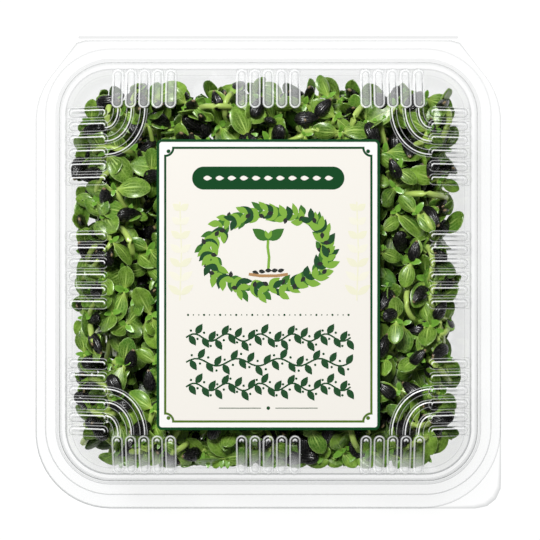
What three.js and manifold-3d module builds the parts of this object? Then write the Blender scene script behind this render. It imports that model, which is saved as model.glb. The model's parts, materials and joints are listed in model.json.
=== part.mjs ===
// A hinged clear clamshell tray, closed, filled with cut sunflower microgreens
// and carrying a paper label on its lid.
//
// Millimetres. +Z is up, +Y points at the hinge, and the origin lies under the
// middle of the tray, on the surface that it stands on.
import * as THREE from 'three';
import { mergeVertices } from 'three/addons/utils/BufferGeometryUtils.js';
import Module from 'manifold-3d';

const wasm = await Module();
wasm.setup();

// ---------------------------------------------------------------- sizes
const SHEET = 0.7; // thickness of the formed plastic
const SEAM = 0.3; // gap between pieces that touch
const FLANGE_Z = 44; // top of the tray's flange
const LID_TOP = 60;

// Rounded squares, given by half their width. Their corners share one centre, this
// far from the middle along both sides, and none is sharper than the least radius.
const CORNER = 77;
const LEAST_RADIUS = 3;
const FLOOR_HALF = 86.5;
const RIM_HALF = 99;
const DOME = { foot: 96, top: 78 };

const FLANGE = { half: 114, front: -116, back: 110.5 };
const TAB_RADIUS = 12; // the lid's lift tab fills out one front corner
const HINGE = { half: 93, y: 114.8, radius: 1.2 };
const HINGE_LEAVES = 0.75; // angle on the back corners where the hinge edge starts

const RIDGE = { inner: 100.5, outer: 104.7, rise: 1.5 }; // 45 degree sides
const RIB = { height: 1.9, halfWidth: 2.4, start: 2 }; // start: above the flange
const RIB_ROWS = {
  ends: { perGroup: 5, pitch: 6.3, groups: [-59, 0, 59] }, // front and back walls
  sides: { perGroup: 6, pitch: 6, groups: [-57, 0, 57] }, // left and right walls
};
const ARC_STEPS = 6; // straight steps in a quarter circle

const LABEL = { width: 108.5, length: 141.3, y: -6.3, thickness: 0.25, radius: 2 };

const GRID = { count: 7, pitch: 24, jitter: 1.6 }; // heads of the shoots
const STEM = { radius: 1.2, sides: 5, steps: 3, foot: 1.8, lean: 24, sway: 4 };
const FRONT_FEET = -80; // no stem stands nearer the front wall than this
const LEAF = { length: 14.5, width: 9.4, thickness: 2.4, sink: 1 };
const HEAD = { low: 38.5, middle: 41, spread: 2.4 };
const HULL = { length: 9.6, width: 6, thickness: 4.2 };
const CAPPED = { every: 7, first: 3, headZ: 31, opening: 1.32 };

const QUARTER = Math.PI / 2;
const LID_Z = FLANGE_Z + SEAM; // underside of the lid's flange

const FINISH = {
  plastic: { color: 0xe4eaec, roughness: 0.08, metalness: 0, transparent: true, opacity: 0.35 },
  paper: { color: 0xf6f2e6, roughness: 0.6, metalness: 0 },
  shoot: { color: 0x6fa04a, roughness: 0.45, metalness: 0 },
  hull: { color: 0x17181a, roughness: 0.5, metalness: 0 },
};

// ---------------------------------------------------------------- solids
// A closed mesh as a solid: only the positions count, and the triangles that
// shrink to a line where a lathe meets its axis are dropped.
function solid(geometry) {
  geometry.deleteAttribute('normal');
  geometry.deleteAttribute('uv');
  const merged = mergeVertices(geometry, 1e-4);
  const index = merged.index.array;
  const kept = [];
  for (let i = 0; i < index.length; i += 3) {
    const [a, b, c] = index.slice(i, i + 3);
    if (a !== b && b !== c && c !== a) kept.push(a, b, c);
  }
  return new wasm.Manifold(new wasm.Mesh({
    numProp: 3,
    vertProperties: new Float32Array(merged.attributes.position.array),
    triVerts: new Uint32Array(kept),
  }));
}

function toGeometry(manifold) {
  const mesh = manifold.getMesh();
  const geometry = new THREE.BufferGeometry();
  geometry.setAttribute('position', new THREE.BufferAttribute(mesh.vertProperties, 3));
  geometry.setIndex(new THREE.BufferAttribute(mesh.triVerts, 1));
  geometry.computeVertexNormals();
  return geometry;
}

function named(name, geometry, finish) {
  const mesh = new THREE.Mesh(geometry, new THREE.MeshStandardMaterial(FINISH[finish]));
  mesh.name = name;
  return mesh;
}

// ---------------------------------------------------------------- formed shells
// The stations round a rounded square, counter-clockwise from the +X side. A
// corner station has an angle; a station on a side has its distance along the
// side and says whether it is the crest of a rib.
function stations(rows) {
  const ring = [];
  for (let turn = 0; turn < 4; turn++) {
    for (const rib of rows ? ribCentres(turn % 2 ? rows.ends : rows.sides) : []) {
      ring.push({ turn, along: rib - RIB.halfWidth, crest: 0 });
      ring.push({ turn, along: rib, crest: 1 });
      ring.push({ turn, along: rib + RIB.halfWidth, crest: 0 });
    }
    for (let step = 0; step <= ARC_STEPS; step++) {
      ring.push({ turn, angle: (QUARTER * step) / ARC_STEPS });
    }
  }
  return ring;
}

function ribCentres({ perGroup, pitch, groups }) {
  return groups.flatMap((middle) => Array.from({ length: perGroup },
    (_, i) => middle + (i - (perGroup - 1) / 2) * pitch));
}

const cornerRadius = (half) => Math.max(half - CORNER, LEAST_RADIUS);

function stationPoint({ turn, angle, along, crest }, { half, rib = 0 }) {
  const onCorner = angle !== undefined;
  const radius = cornerRadius(half);
  const out = onCorner ? half - radius + radius * Math.cos(angle) : half + crest * rib;
  const across = onCorner ? half - radius + radius * Math.sin(angle) : along;
  return new THREE.Vector2(out, across).rotateAround(new THREE.Vector2(), turn * QUARTER);
}

// A solid through a stack of rounded squares, lowest first: a lathe whose rings
// are pulled out to the stations.
function stack(levels, rows = null) {
  const ring = stations(rows);
  const profile = [levels[0], ...levels, levels.at(-1)].map(({ half, z }, i) =>
    new THREE.Vector2(i === 0 || i === levels.length + 1 ? 0 : half, z));
  const lathe = new THREE.LatheGeometry(profile, ring.length);
  const position = lathe.attributes.position;
  for (let i = 0; i < position.count; i++) {
    const row = i % profile.length;
    const level = levels[row - 1];
    const station = ring[Math.floor(i / profile.length) % ring.length];
    const point = level ? stationPoint(station, level) : new THREE.Vector2();
    position.setXYZ(i, point.x, point.y, profile[row].y);
  }
  return solid(lathe);
}

// A raised ring with 45 degree sides, round the flange.
function ridge({ inner, outer, bottom, top }) {
  const rise = top - bottom;
  const mound = stack([{ half: outer, z: bottom }, { half: outer - rise, z: top }]);
  const hollow = stack([
    { half: inner - SHEET, z: bottom - SHEET },
    { half: inner + rise + SHEET, z: top + SHEET },
  ]);
  return mound.subtract(hollow);
}

// The flange's outline: round corners, a straight hinge edge at the back, and
// one front corner of any radius.
function flangePlate(z, frontRightRadius) {
  const { half, front, back } = FLANGE;
  const radius = cornerRadius(half);
  const hingeEdge = HINGE.y - HINGE.radius - SEAM;
  const shape = new THREE.Shape();
  shape.moveTo(-half + radius, front);
  shape.lineTo(half - frontRightRadius, front);
  shape.absarc(half - frontRightRadius, front + frontRightRadius, frontRightRadius, -QUARTER, 0);
  shape.lineTo(half, back - radius);
  shape.absarc(half - radius, back - radius, radius, 0, HINGE_LEAVES);
  shape.lineTo(HINGE.half, hingeEdge);
  shape.lineTo(-HINGE.half, hingeEdge);
  shape.absarc(-half + radius, back - radius, radius, Math.PI - HINGE_LEAVES, Math.PI);
  shape.lineTo(-half, front + radius);
  shape.absarc(-half + radius, front + radius, radius, Math.PI, Math.PI + QUARTER);
  const plate = new THREE.ExtrudeGeometry(shape,
    { depth: SHEET, bevelEnabled: false, curveSegments: ARC_STEPS });
  return solid(plate.translate(0, 0, z));
}

function trayBase() {
  const outside = stack([{ half: FLOOR_HALF, z: 0 }, { half: RIM_HALF, z: FLANGE_Z }]);
  const inside = stack([
    { half: FLOOR_HALF - SHEET, z: SHEET },
    { half: RIM_HALF - SHEET, z: FLANGE_Z },
    { half: RIM_HALF - SHEET, z: FLANGE_Z + 1 },
  ]);
  const seal = ridge({ ...RIDGE, bottom: FLANGE_Z - SHEET / 2, top: FLANGE_Z + RIDGE.rise });
  return flangePlate(FLANGE_Z - SHEET, cornerRadius(FLANGE.half))
    .add(outside).add(seal).subtract(inside);
}

// The dome's outer face, or with an inset its inner face. It starts low enough to
// join the flange, or to cut through it.
function dome(inset) {
  const foot = DOME.foot - inset;
  return stack([
    { half: foot, z: inset ? FLANGE_Z : LID_Z + SHEET / 2 },
    { half: foot, z: LID_Z + SHEET },
    { half: foot - 1, rib: RIB.height, z: LID_Z + SHEET + RIB.start },
    { half: DOME.top - inset, rib: RIB.height, z: LID_TOP - inset },
  ], RIB_ROWS);
}

function lid() {
  const slope = SHEET * Math.SQRT2;
  const sealTop = ridge({
    inner: RIDGE.inner - slope, outer: RIDGE.outer + slope,
    bottom: LID_Z + SHEET / 2, top: LID_Z + SHEET + RIDGE.rise,
  });
  const groove = ridge({
    inner: RIDGE.inner - SEAM, outer: RIDGE.outer + SEAM + 0.2,
    bottom: FLANGE_Z, top: FLANGE_Z + RIDGE.rise + SEAM,
  });
  return flangePlate(LID_Z, TAB_RADIUS).add(dome(0)).add(sealTop)
    .subtract(dome(SHEET)).subtract(groove);
}

function livingHinge() {
  const bead = new THREE.CylinderGeometry(HINGE.radius, HINGE.radius, 2 * HINGE.half, 12);
  return bead.rotateZ(QUARTER).translate(0, HINGE.y, FLANGE_Z + SEAM / 2);
}

function labelSheet() {
  const { width, length, radius, y, thickness } = LABEL;
  const [x, top] = [width / 2 - radius, length / 2 - radius];
  const shape = new THREE.Shape();
  shape.absarc(x, top, radius, 0, QUARTER);
  shape.absarc(-x, top, radius, QUARTER, 2 * QUARTER);
  shape.absarc(-x, -top, radius, 2 * QUARTER, 3 * QUARTER);
  shape.absarc(x, -top, radius, 3 * QUARTER, 4 * QUARTER);
  const sheet = new THREE.ExtrudeGeometry(shape,
    { depth: thickness, bevelEnabled: false, curveSegments: 3 });
  return sheet.translate(0, y, LID_TOP);
}

// ---------------------------------------------------------------- greens
// A repeatable scatter: the same number from 0 to 1 for the same index and use.
function chance(index, use) {
  const value = Math.sin(index * 12.9898 + use * 78.233) * 43758.5453;
  return value - Math.floor(value);
}

const swing = (index, use) => 2 * chance(index, use) - 1;

// How each shoot grows: where its cut foot stands, where its head is, and how
// its pair of seed leaves opens.
function shootPlan(index) {
  const column = (index % GRID.count) - (GRID.count - 1) / 2;
  const row = Math.floor(index / GRID.count) - (GRID.count - 1) / 2;
  const outermost = Math.max(Math.abs(column), Math.abs(row)) > GRID.count / 2 - 1;
  const capped = index % CAPPED.every === CAPPED.first;
  const head = new THREE.Vector3(
    column * GRID.pitch + swing(index, 1) * GRID.jitter,
    row * GRID.pitch + swing(index, 2) * GRID.jitter,
    capped ? CAPPED.headZ : (outermost ? HEAD.low : HEAD.middle) + swing(index, 3) * HEAD.spread,
  );
  const foot = new THREE.Vector3(
    head.x + swing(index, 4) * STEM.sway,
    Math.max(head.y - STEM.lean, FRONT_FEET + row + 3),
    STEM.foot,
  );
  return {
    foot, head, capped,
    turn: chance(index, 5) * Math.PI,
    opening: capped ? [CAPPED.opening, CAPPED.opening]
      : [0.3 + 0.5 * chance(index, 6), 0.3 + 0.5 * chance(index, 7)],
  };
}

// One seed leaf: an oval pad that runs out from the head at a heading and rises
// by an angle above the level.
function seedLeaf(heading, rise) {
  const pad = new THREE.SphereGeometry(0.5, 6, 3);
  pad.scale(LEAF.width, LEAF.length, LEAF.thickness);
  pad.translate(0, LEAF.length / 2 - LEAF.sink, 0);
  return pad.rotateX(rise).rotateZ(heading);
}

function shoot({ foot, head, turn, opening }) {
  const reach = head.clone().sub(foot);
  const path = new THREE.QuadraticBezierCurve3(
    new THREE.Vector3(),
    new THREE.Vector3(reach.x * 0.3, reach.y * 0.3, reach.z * 0.6),
    reach,
  );
  const section = new THREE.Shape(Array.from({ length: STEM.sides }, (_, i) => {
    const angle = (2 * Math.PI * i) / STEM.sides;
    return new THREE.Vector2(Math.cos(angle), Math.sin(angle)).multiplyScalar(STEM.radius);
  }));
  const stem = new THREE.ExtrudeGeometry(section, { steps: STEM.steps, extrudePath: path });
  const leaves = opening.map((rise, side) =>
    solid(seedLeaf(turn + side * Math.PI, rise).translate(reach.x, reach.y, reach.z)));
  return toGeometry(leaves[0].add(leaves[1]).add(solid(stem)));
}

// The seed's hull, still standing on the tips of a closed pair of seed leaves.
function seedHull() {
  const hull = new THREE.SphereGeometry(0.5, 7, 4);
  return hull.scale(HULL.width, HULL.length, HULL.thickness).rotateX(QUARTER);
}

// ---------------------------------------------------------------- assembly
const tray = new THREE.Group();
tray.add(named('tray_base', toGeometry(trayBase()), 'plastic'));
tray.add(named('living_hinge', livingHinge(), 'plastic'));
tray.add(named('lid', toGeometry(lid()), 'plastic'));
tray.add(named('label', labelSheet(), 'paper'));

for (let index = 0; index < GRID.count ** 2; index++) {
  const plan = shootPlan(index);
  const number = String(index + 1).padStart(2, '0');
  const mesh = named(`shoot_${number}`, shoot(plan), 'shoot');
  mesh.position.copy(plan.foot);
  tray.add(mesh);
  if (!plan.capped) continue;
  const hull = named(`seed_hull_${number}`, seedHull(), 'hull');
  hull.position.copy(plan.head);
  hull.position.z += LEAF.length - LEAF.sink + SEAM + HULL.length / 2;
  hull.rotation.z = plan.turn;
  tray.add(hull);
}

export default tray;
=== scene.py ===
# %% [markdown]
# A closed, clear clamshell tray of sunflower microgreens, built in Blender around
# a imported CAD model. The CAD model fixes where everything is and what moves; this
# lesson gives each piece its fine shape and its finish.

import json
import math

import bmesh
import bpy
import numpy as np
from mathutils import Euler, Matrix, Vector
from mathutils.bvhtree import BVHTree

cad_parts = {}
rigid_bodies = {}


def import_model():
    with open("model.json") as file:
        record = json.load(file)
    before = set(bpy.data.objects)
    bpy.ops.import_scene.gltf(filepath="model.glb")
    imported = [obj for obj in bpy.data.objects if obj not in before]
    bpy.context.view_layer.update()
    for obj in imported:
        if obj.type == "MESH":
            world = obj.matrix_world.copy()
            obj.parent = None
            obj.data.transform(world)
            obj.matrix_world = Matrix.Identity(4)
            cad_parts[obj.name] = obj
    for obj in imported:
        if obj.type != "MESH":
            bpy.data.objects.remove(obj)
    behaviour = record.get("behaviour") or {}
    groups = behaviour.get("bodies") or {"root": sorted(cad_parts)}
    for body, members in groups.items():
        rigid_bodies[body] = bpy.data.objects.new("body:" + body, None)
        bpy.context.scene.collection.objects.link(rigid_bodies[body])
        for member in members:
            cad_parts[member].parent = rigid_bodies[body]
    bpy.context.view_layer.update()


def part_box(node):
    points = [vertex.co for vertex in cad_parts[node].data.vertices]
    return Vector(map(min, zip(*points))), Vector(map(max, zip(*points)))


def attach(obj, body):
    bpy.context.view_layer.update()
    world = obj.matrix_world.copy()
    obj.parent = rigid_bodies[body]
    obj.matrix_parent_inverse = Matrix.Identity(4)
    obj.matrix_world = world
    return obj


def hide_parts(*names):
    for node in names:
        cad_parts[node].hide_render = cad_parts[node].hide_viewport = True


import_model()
MM = 0.001

# %% [markdown]
# The pack is seen from straight above on a white table, filling the square picture.
# An orthographic camera would hide the slope of the walls altogether. A long lens
# from two metres up keeps them almost parallel, as a product camera on a copy stand
# does.

# %% Camera
FLANGE_Z = 44.0
CAMERA_HEIGHT = 2000.0
PICTURE_WIDTH = 264.6
PICTURE_MIDDLE = (0.83, 0.83)


def add_to_scene(name, data):
    piece = bpy.data.objects.new(name, data)
    bpy.context.scene.collection.objects.link(piece)
    return piece


lens = bpy.data.cameras.new("camera")
lens.sensor_width = 36.0
lens.lens = lens.sensor_width * CAMERA_HEIGHT / PICTURE_WIDTH
lens.clip_end = 100.0
camera = add_to_scene("camera", lens)
camera.location = (PICTURE_MIDDLE[0] * MM, PICTURE_MIDDLE[1] * MM, (CAMERA_HEIGHT + FLANGE_Z) * MM)
bpy.context.scene.camera = camera
print("lens", round(lens.lens), "mm")

# %% [markdown]
# A finish is a tree of nodes. It could be drawn by hand or added call by call, but
# its maths reads best as plain expressions. `Value` wraps one number of a tree and
# turns `1 - mask * 0.5` into Math nodes; `Finish` is a material that adds any node
# with one call.

# %% Shader expressions
class Value:
    """One number in a shader tree."""

    def __init__(self, finish, socket):
        self.finish = finish
        self.socket = socket

    def __rsub__(self, other):
        return self.finish.math("SUBTRACT", other, self)

    def line(self, at, width):
        """1 on a line where this equals at, and 0 beyond width from it."""
        return abs(self - at).step(width, 0.0)

    def step(self, low, high):
        """0 below low, 1 above high, and smooth between; high may be the lesser."""
        start, end = (0.0, 1.0) if low <= high else (1.0, 0.0)
        node = self.finish.node(
            "MapRange", {"interpolation_type": "SMOOTHSTEP"}, Value=self,
            From_Min=min(low, high), From_Max=max(low, high), To_Min=start, To_Max=end)
        return Value(self.finish, node.outputs["Result"])


OPERATIONS = {
    "__add__": "ADD", "__radd__": "ADD", "__sub__": "SUBTRACT", "__mul__": "MULTIPLY",
    "__rmul__": "MULTIPLY", "__truediv__": "DIVIDE", "__pow__": "POWER",
    "__abs__": "ABSOLUTE", "sin": "SINE", "root": "SQRT", "least": "MINIMUM",
    "most": "MAXIMUM", "over": "GREATER_THAN", "rounded": "ROUND",
}
for method, operation in OPERATIONS.items():
    def expression(self, *others, operation=operation):
        return self.finish.math(operation, self, *others)

    setattr(Value, method, expression)


def diagonal(a, b):
    """The distance across two legs at right angles."""
    return (a * a + b * b).root()


print("operators", len(OPERATIONS))

# %% Finishes
class Finish:
    """A material, built node by node."""

    def __init__(self, name):
        self.material = bpy.data.materials.new(name)
        self.material.use_nodes = True
        self.tree = self.material.node_tree
        self.tree.nodes.clear()

    def feed(self, socket, value):
        """Links a socket, or sets it to a plain number or colour."""
        if isinstance(value, Value):
            value = value.socket
        if isinstance(value, bpy.types.NodeSocket):
            self.tree.links.new(value, socket)
        else:
            socket.default_value = (*value, 1.0) if socket.type == "RGBA" else value

    def node(self, kind, settings=None, **inputs):
        """Adds a node. An input is named as the socket is, with _ for a space."""
        node = self.tree.nodes.new("ShaderNode" + kind)
        for name, value in (settings or {}).items():
            setattr(node, name, value)
        for name, value in inputs.items():
            self.feed(node.inputs[name.replace("_", " ")], value)
        return node

    def math(self, operation, *numbers):
        node = self.node("Math", {"operation": operation})
        for socket, number in zip(node.inputs, numbers):
            self.feed(socket, number)
        return Value(self, node.outputs[0])

    def place(self):
        """Object coordinates in millimetres, as x, y and z."""
        coordinates = self.node("TexCoord").outputs["Object"]
        parts = self.node("SeparateXYZ", Vector=coordinates).outputs
        return [Value(self, part) * 1000.0 for part in parts]

    def attribute(self, name):
        return Value(self, self.node("Attribute", {"attribute_name": name}).outputs["Fac"])

    def noise(self, scale, detail):
        coordinates = self.node("TexCoord").outputs["Object"]
        node = self.node("TexNoise", Vector=coordinates, Scale=scale, Detail=detail)
        return Value(self, node.outputs[0])

    def bump(self, strength, depth, height):
        """A normal for relief that is depth metres deep."""
        node = self.node("Bump", Strength=strength, Distance=depth, Height=height)
        return node.outputs[0]

    def mix(self, factor, first, second):
        """A colour between first and second."""
        node = self.node("Mix", {"data_type": "RGBA"}, Factor=factor)
        self.feed(node.inputs[6], first)
        self.feed(node.inputs[7], second)
        return node.outputs[2]

    def tinted(self, colour, *tints):
        """A colour with tints laid over it in turn, each a strength and a colour."""
        for strength, tint in tints:
            colour = self.mix(strength, colour, tint)
        return colour

    def blend(self, factor, first, second):
        """A shader between the shaders of two nodes."""
        node = self.node("MixShader", Fac=factor)
        self.feed(node.inputs[1], first.outputs[0])
        self.feed(node.inputs[2], second.outputs[0])
        return node

    def surface(self, shader):
        """Ends the tree in a shader node and gives the finished material."""
        self.node("OutputMaterial", Surface=shader.outputs[0])
        return self.material


print("shader expressions ready")

# %% [markdown]
# Every piece could be modelled by hand in edit mode. Here each one is made from
# numbers instead, so that its sizes stay in one place: vertices in millimetres,
# faces, and optional values at each vertex that a finish can read.

# %% Pieces from numbers
FIELDS = {"FLOAT": "value", "INT": "value", "FLOAT_VECTOR": "vector", "FLOAT_COLOR": "color"}


def remember(mesh, key, kind, numbers):
    """Stores a number, vector or colour at each vertex."""
    mesh.attributes.new(key, kind, "POINT").data.foreach_set(FIELDS[kind], np.ravel(numbers))


def mesh_piece(name, vertices, faces, finish=None, smooth=True, **values):
    mesh = bpy.data.meshes.new(name)
    mesh.from_pydata((np.asarray(vertices) * MM).tolist(), [], faces)
    mesh.validate()
    mesh.polygons.foreach_set("use_smooth", np.full(len(mesh.polygons), smooth))
    for key, numbers in values.items():
        remember(mesh, key, "FLOAT_COLOR" if np.ndim(numbers) == 2 else "FLOAT", numbers)
    if finish:
        mesh.materials.append(finish)
    return add_to_scene(name, mesh)


def quads(rows, columns, closed=True):
    """The faces of a grid of vertices; a closed grid joins its last column to its first."""
    i, j = np.meshgrid(np.arange(rows - 1), np.arange(columns - (not closed)), indexing="ij")
    here, beyond = i * columns, (i + 1) * columns
    k = (j + 1) % columns
    return np.stack([here + j, here + k, beyond + k, beyond + j], axis=-1).reshape(-1, 4)


def carry(piece, body, slot, *nodes):
    """Rides a finished piece on its body, in place of CAD nodes. The slot is not used."""
    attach(piece, body)
    if nodes:
        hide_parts(*nodes)
    return piece


print("mesh helpers ready")

# %% [markdown]
# The clamshell is one clear sheet, drawn down by vacuum over a mould. Its outlines
# are all rounded squares whose corners share a centre, so one number says where a
# point lies: half the width of the rounded square through it. The sheet's height
# is then a short rule of that number, with ribs added on top. Extruding and bevelling
# a square would give the plain walls too, but not ribs that melt into them.

# %% The family of rounded squares
CORNER = 77.0
FLANGE_HALF = 114.0
FLANGE_FRONT = -116.0
FLANGE_BACK = 110.5
HINGE_Y = 114.8
HINGE_HALF = 93.0
HINGE_EDGE = 113.3
BAND_HALF = 109.6
RIM_HALF = 99.0
FOOT_HALF = 96.0
TOP_HALF = 78.6
LID_TOP = 60.0
SHEET = 0.5
QUARTER = math.pi / 2


def ring_of(x, y):
    """Half the width of the rounded square through a point."""
    a, b = np.abs(x), np.abs(y)
    rounded = CORNER + np.hypot(np.maximum(a - CORNER, 0), np.maximum(b - CORNER, 0))
    return np.where((a > CORNER) & (b > CORNER), rounded, np.maximum(a, b))


RIB_ROWS = {
    # walls at +X and -X, then at +Y and -Y; each wall has three groups of ribs
    "sides": {"groups": (-61.3, 0.9, 61.3), "pitch": 6.55, "count": 6, "foot": 95.4, "top": 80.6},
    "ends": {"groups": (-60.6, 0.0, 60.6), "pitch": 6.5, "count": 5, "foot": 96.4, "top": 82.4},
}
RIBS = {wall: [middle + (i - (row["count"] - 1) / 2) * row["pitch"]
               for middle in row["groups"] for i in range(row["count"])]
        for wall, row in RIB_ROWS.items()}
RIB_WIDTH = 2.75
RIB_HEIGHT = 1.6
ARC_CORNER = 79.0
ARC_PITCH = 6.5
ARC_SIZE = (5.4, 8.4)
ARC_COUNT = 3
ARC_WIDTH = 1.9
ARC_HEIGHT = 1.35


def rib_section(distance, width, height):
    """The rounded section of a rib, at a distance from its middle line."""
    share = np.clip(np.abs(distance) / width, 0, 1)
    return height * (1 - share**2)


def blend_min(a, b, soft):
    """The lesser of two heights, with the edge between them rounded."""
    h = np.clip(0.5 + 0.5 * (b - a) / soft, 0, 1)
    return b * (1 - h) + a * h - soft * h * (1 - h)


def rib_height(x, y, grow=0.0):
    """How far the ribs stand out; each runs between two rings, and grow lengthens it."""
    out = np.zeros_like(x)
    for along, across, wall in ((x, y, "sides"), (y, x, "ends")):
        foot, top = RIB_ROWS[wall]["foot"], RIB_ROWS[wall]["top"]
        past = np.maximum(np.maximum(np.abs(along) - foot - grow, top - np.abs(along)), 0)
        for centre in RIBS[wall]:
            distance = np.hypot(across - centre, past)
            out = np.maximum(out, rib_section(distance, RIB_WIDTH, RIB_HEIGHT))
    return out


def arc_height(x, y):
    """The quarter rings that join the ribs across each corner of the lid's top."""
    X, Y = ARC_CORNER - np.abs(x), ARC_CORNER - np.abs(y)
    inside = (X > -1) & (Y > -1)
    X, Y = np.maximum(X, 1e-3), np.maximum(Y, 1e-3)
    out = np.zeros_like(x)
    for number in range(ARC_COUNT):
        a, b = ARC_SIZE[0] + number * ARC_PITCH, ARC_SIZE[1] + number * ARC_PITCH
        level = np.hypot(X / a, Y / b)
        slope = np.hypot(X / a**2, Y / b**2) / level
        section = rib_section((level - 1) / slope, ARC_WIDTH, ARC_HEIGHT)
        out = np.maximum(out, np.where(inside, section, 0))
    return out


def ramp(ring, outer, inner, low, high):
    """A straight slope between two rings, from low outside to high inside."""
    share = np.clip((outer - ring) / (outer - inner), 0, 1)
    return low + (high - low) * share


BEAD = (103.7, 102.9, 102.2, 101.4)
BEAD_RISE = 1.3
BAND_START = 108.7
BAND_DROP = 0.45
LEDGE_Z = FLANGE_Z + 1.0
LID_SLOPE = (LID_TOP - LEDGE_Z) / (FOOT_HALF - TOP_HALF)


def lid_height(x, y):
    """The lid's upper side: a flange with a bead, a sloping wall with ribs, a flat top."""
    ring = ring_of(x, y)
    bead = ramp(ring, BEAD[0], BEAD[1], 0, BEAD_RISE) - ramp(ring, BEAD[2], BEAD[3], 0, BEAD_RISE)
    band = BAND_DROP * np.clip((ring - BAND_START) / (BAND_HALF - BAND_START), 0, 1)
    wall = blend_min(LEDGE_Z + (FOOT_HALF - ring) * LID_SLOPE, np.full_like(ring, LID_TOP), 1.2)
    shape = np.where(ring > 98, LEDGE_Z + bead - band, np.maximum(wall, LEDGE_Z))
    ribs = rib_height(x, y) / math.cos(math.atan(LID_SLOPE))
    return shape + np.maximum(ribs, arc_height(x, y) * (ring < TOP_HALF + 2))


print("rib rows", {k: len(v) for k, v in RIBS.items()})

# %% [markdown]
# The sheet is laid out as rings of stations. An even grid fine enough for the ribs
# would need millions of faces, so the stations stand close together where ribs
# cross them and far apart elsewhere, and the rings crowd together on the slopes.

# %% Stations and rings
FINE = 0.8
CORNER_STEPS = 14
LEAST_RADIUS = 1.6


def side_stations(centres):
    """Places along one side: fine steps across the ribs, a few between them."""
    edges = [-CORNER]
    for group in np.array_split(np.array(centres), 3):
        low = max(group[0] - RIB_WIDTH - FINE, -CORNER)
        high = min(group[-1] + RIB_WIDTH + FINE, CORNER)
        if low > edges[-1]:
            edges += list(np.linspace(edges[-1], low, 5)[1:])
        edges += list(np.linspace(low, high, int((high - low) / FINE))[1:])
    edges += list(np.linspace(edges[-1], CORNER, 5)[1:-1]) if edges[-1] < CORNER - 1 else []
    return [u for u in edges if abs(u) < CORNER - 0.2]


def all_stations():
    """One row for each station: quarter turns, place along the side, corner angle."""
    rows = []
    for turn in range(4):
        centres = np.array(RIBS["sides" if turn % 2 == 0 else "ends"])
        centres = np.sort(centres if turn in (0, 3) else -centres)
        rows += [(turn, u, math.nan) for u in side_stations(centres)]
        rows += [(turn, math.nan, QUARTER * i / CORNER_STEPS) for i in range(CORNER_STEPS + 1)]
    return np.array(rows)


STATIONS = all_stations()


def ring_points(ring):
    """The stations round one rounded square, as x and y."""
    turn, along, angle = STATIONS.T
    radius = max(ring - CORNER, LEAST_RADIUS)
    centre = ring - radius
    corner = ~np.isnan(angle)
    out = np.where(corner, centre + radius * np.cos(angle), ring)
    across = np.where(corner, centre + radius * np.sin(angle), along * centre / CORNER)
    c, s = np.cos(turn * QUARTER), np.sin(turn * QUARTER)
    return np.stack([out * c - across * s, out * s + across * c], axis=1)


print("stations", len(STATIONS))

# %% [markdown]
# The cut edge isn't a rounded square: one front corner is a lift tab and the back is
# the straight fold. It could be a ring of its own, but its points have to stand
# opposite those of the ring inside it, so a ray from each station finds the edge.

# %% The cut edge
EDGE_SHARE = 0.16


def arc(x, y, radius, start, end, steps=24):
    angles = np.linspace(start, end, steps)
    return np.stack([x + radius * np.cos(angles), y + radius * np.sin(angles)], axis=1)


def flange_outline(tab_radius):
    """The cut edge: round corners, a lift tab, and the straight hinge at the back."""
    r = FLANGE_HALF - CORNER
    x, back, front = FLANGE_HALF - r, FLANGE_BACK - r, FLANGE_FRONT + r
    tab_x, tab_y = FLANGE_HALF - tab_radius, FLANGE_FRONT + tab_radius
    leave = 0.75
    return np.concatenate([
        arc(tab_x, tab_y, tab_radius, -QUARTER, 0),
        arc(x, back, r, 0, leave),
        [[HINGE_HALF, HINGE_EDGE], [-HINGE_HALF, HINGE_EDGE]],
        arc(-x, back, r, math.pi - leave, math.pi),
        arc(-x, front, r, math.pi, 3 * QUARTER),
    ])


def cast_to(outline, start, heading):
    """Where each ray from start along heading crosses a closed outline."""
    edge = (np.roll(outline, -1, axis=0) - outline)[None]
    offset, heading = outline[None] - start[:, None], heading[:, None]

    def cross(a, b):
        return a[..., 0] * b[..., 1] - a[..., 1] * b[..., 0]

    lean = cross(heading, edge)
    lean = np.where(np.abs(lean) < 1e-9, 1e-9, lean)
    reach, share = cross(offset, edge) / lean, cross(offset, heading) / lean
    good = (reach > 0) & (share >= -1e-6) & (share <= 1 + 1e-6)
    return start + heading[:, 0] * np.where(good, reach, np.inf).min(axis=1)[:, None]


def headings():
    """The way straight out of the pack at each station."""
    turn, _, angle = STATIONS.T
    angle = np.where(np.isnan(angle), 0, angle) + turn * QUARTER
    return np.stack([np.cos(angle), np.sin(angle)], axis=1)


def band_rows(tab_radius):
    """The flange's flat outer band: the cut edge, and one ring just inside it."""
    band = ring_points(BAND_HALF)
    edge = cast_to(flange_outline(tab_radius), band, headings())
    return [edge, edge + (band - edge) * EDGE_SHARE]


print("cut edge points", len(flange_outline(12.0)))
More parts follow.
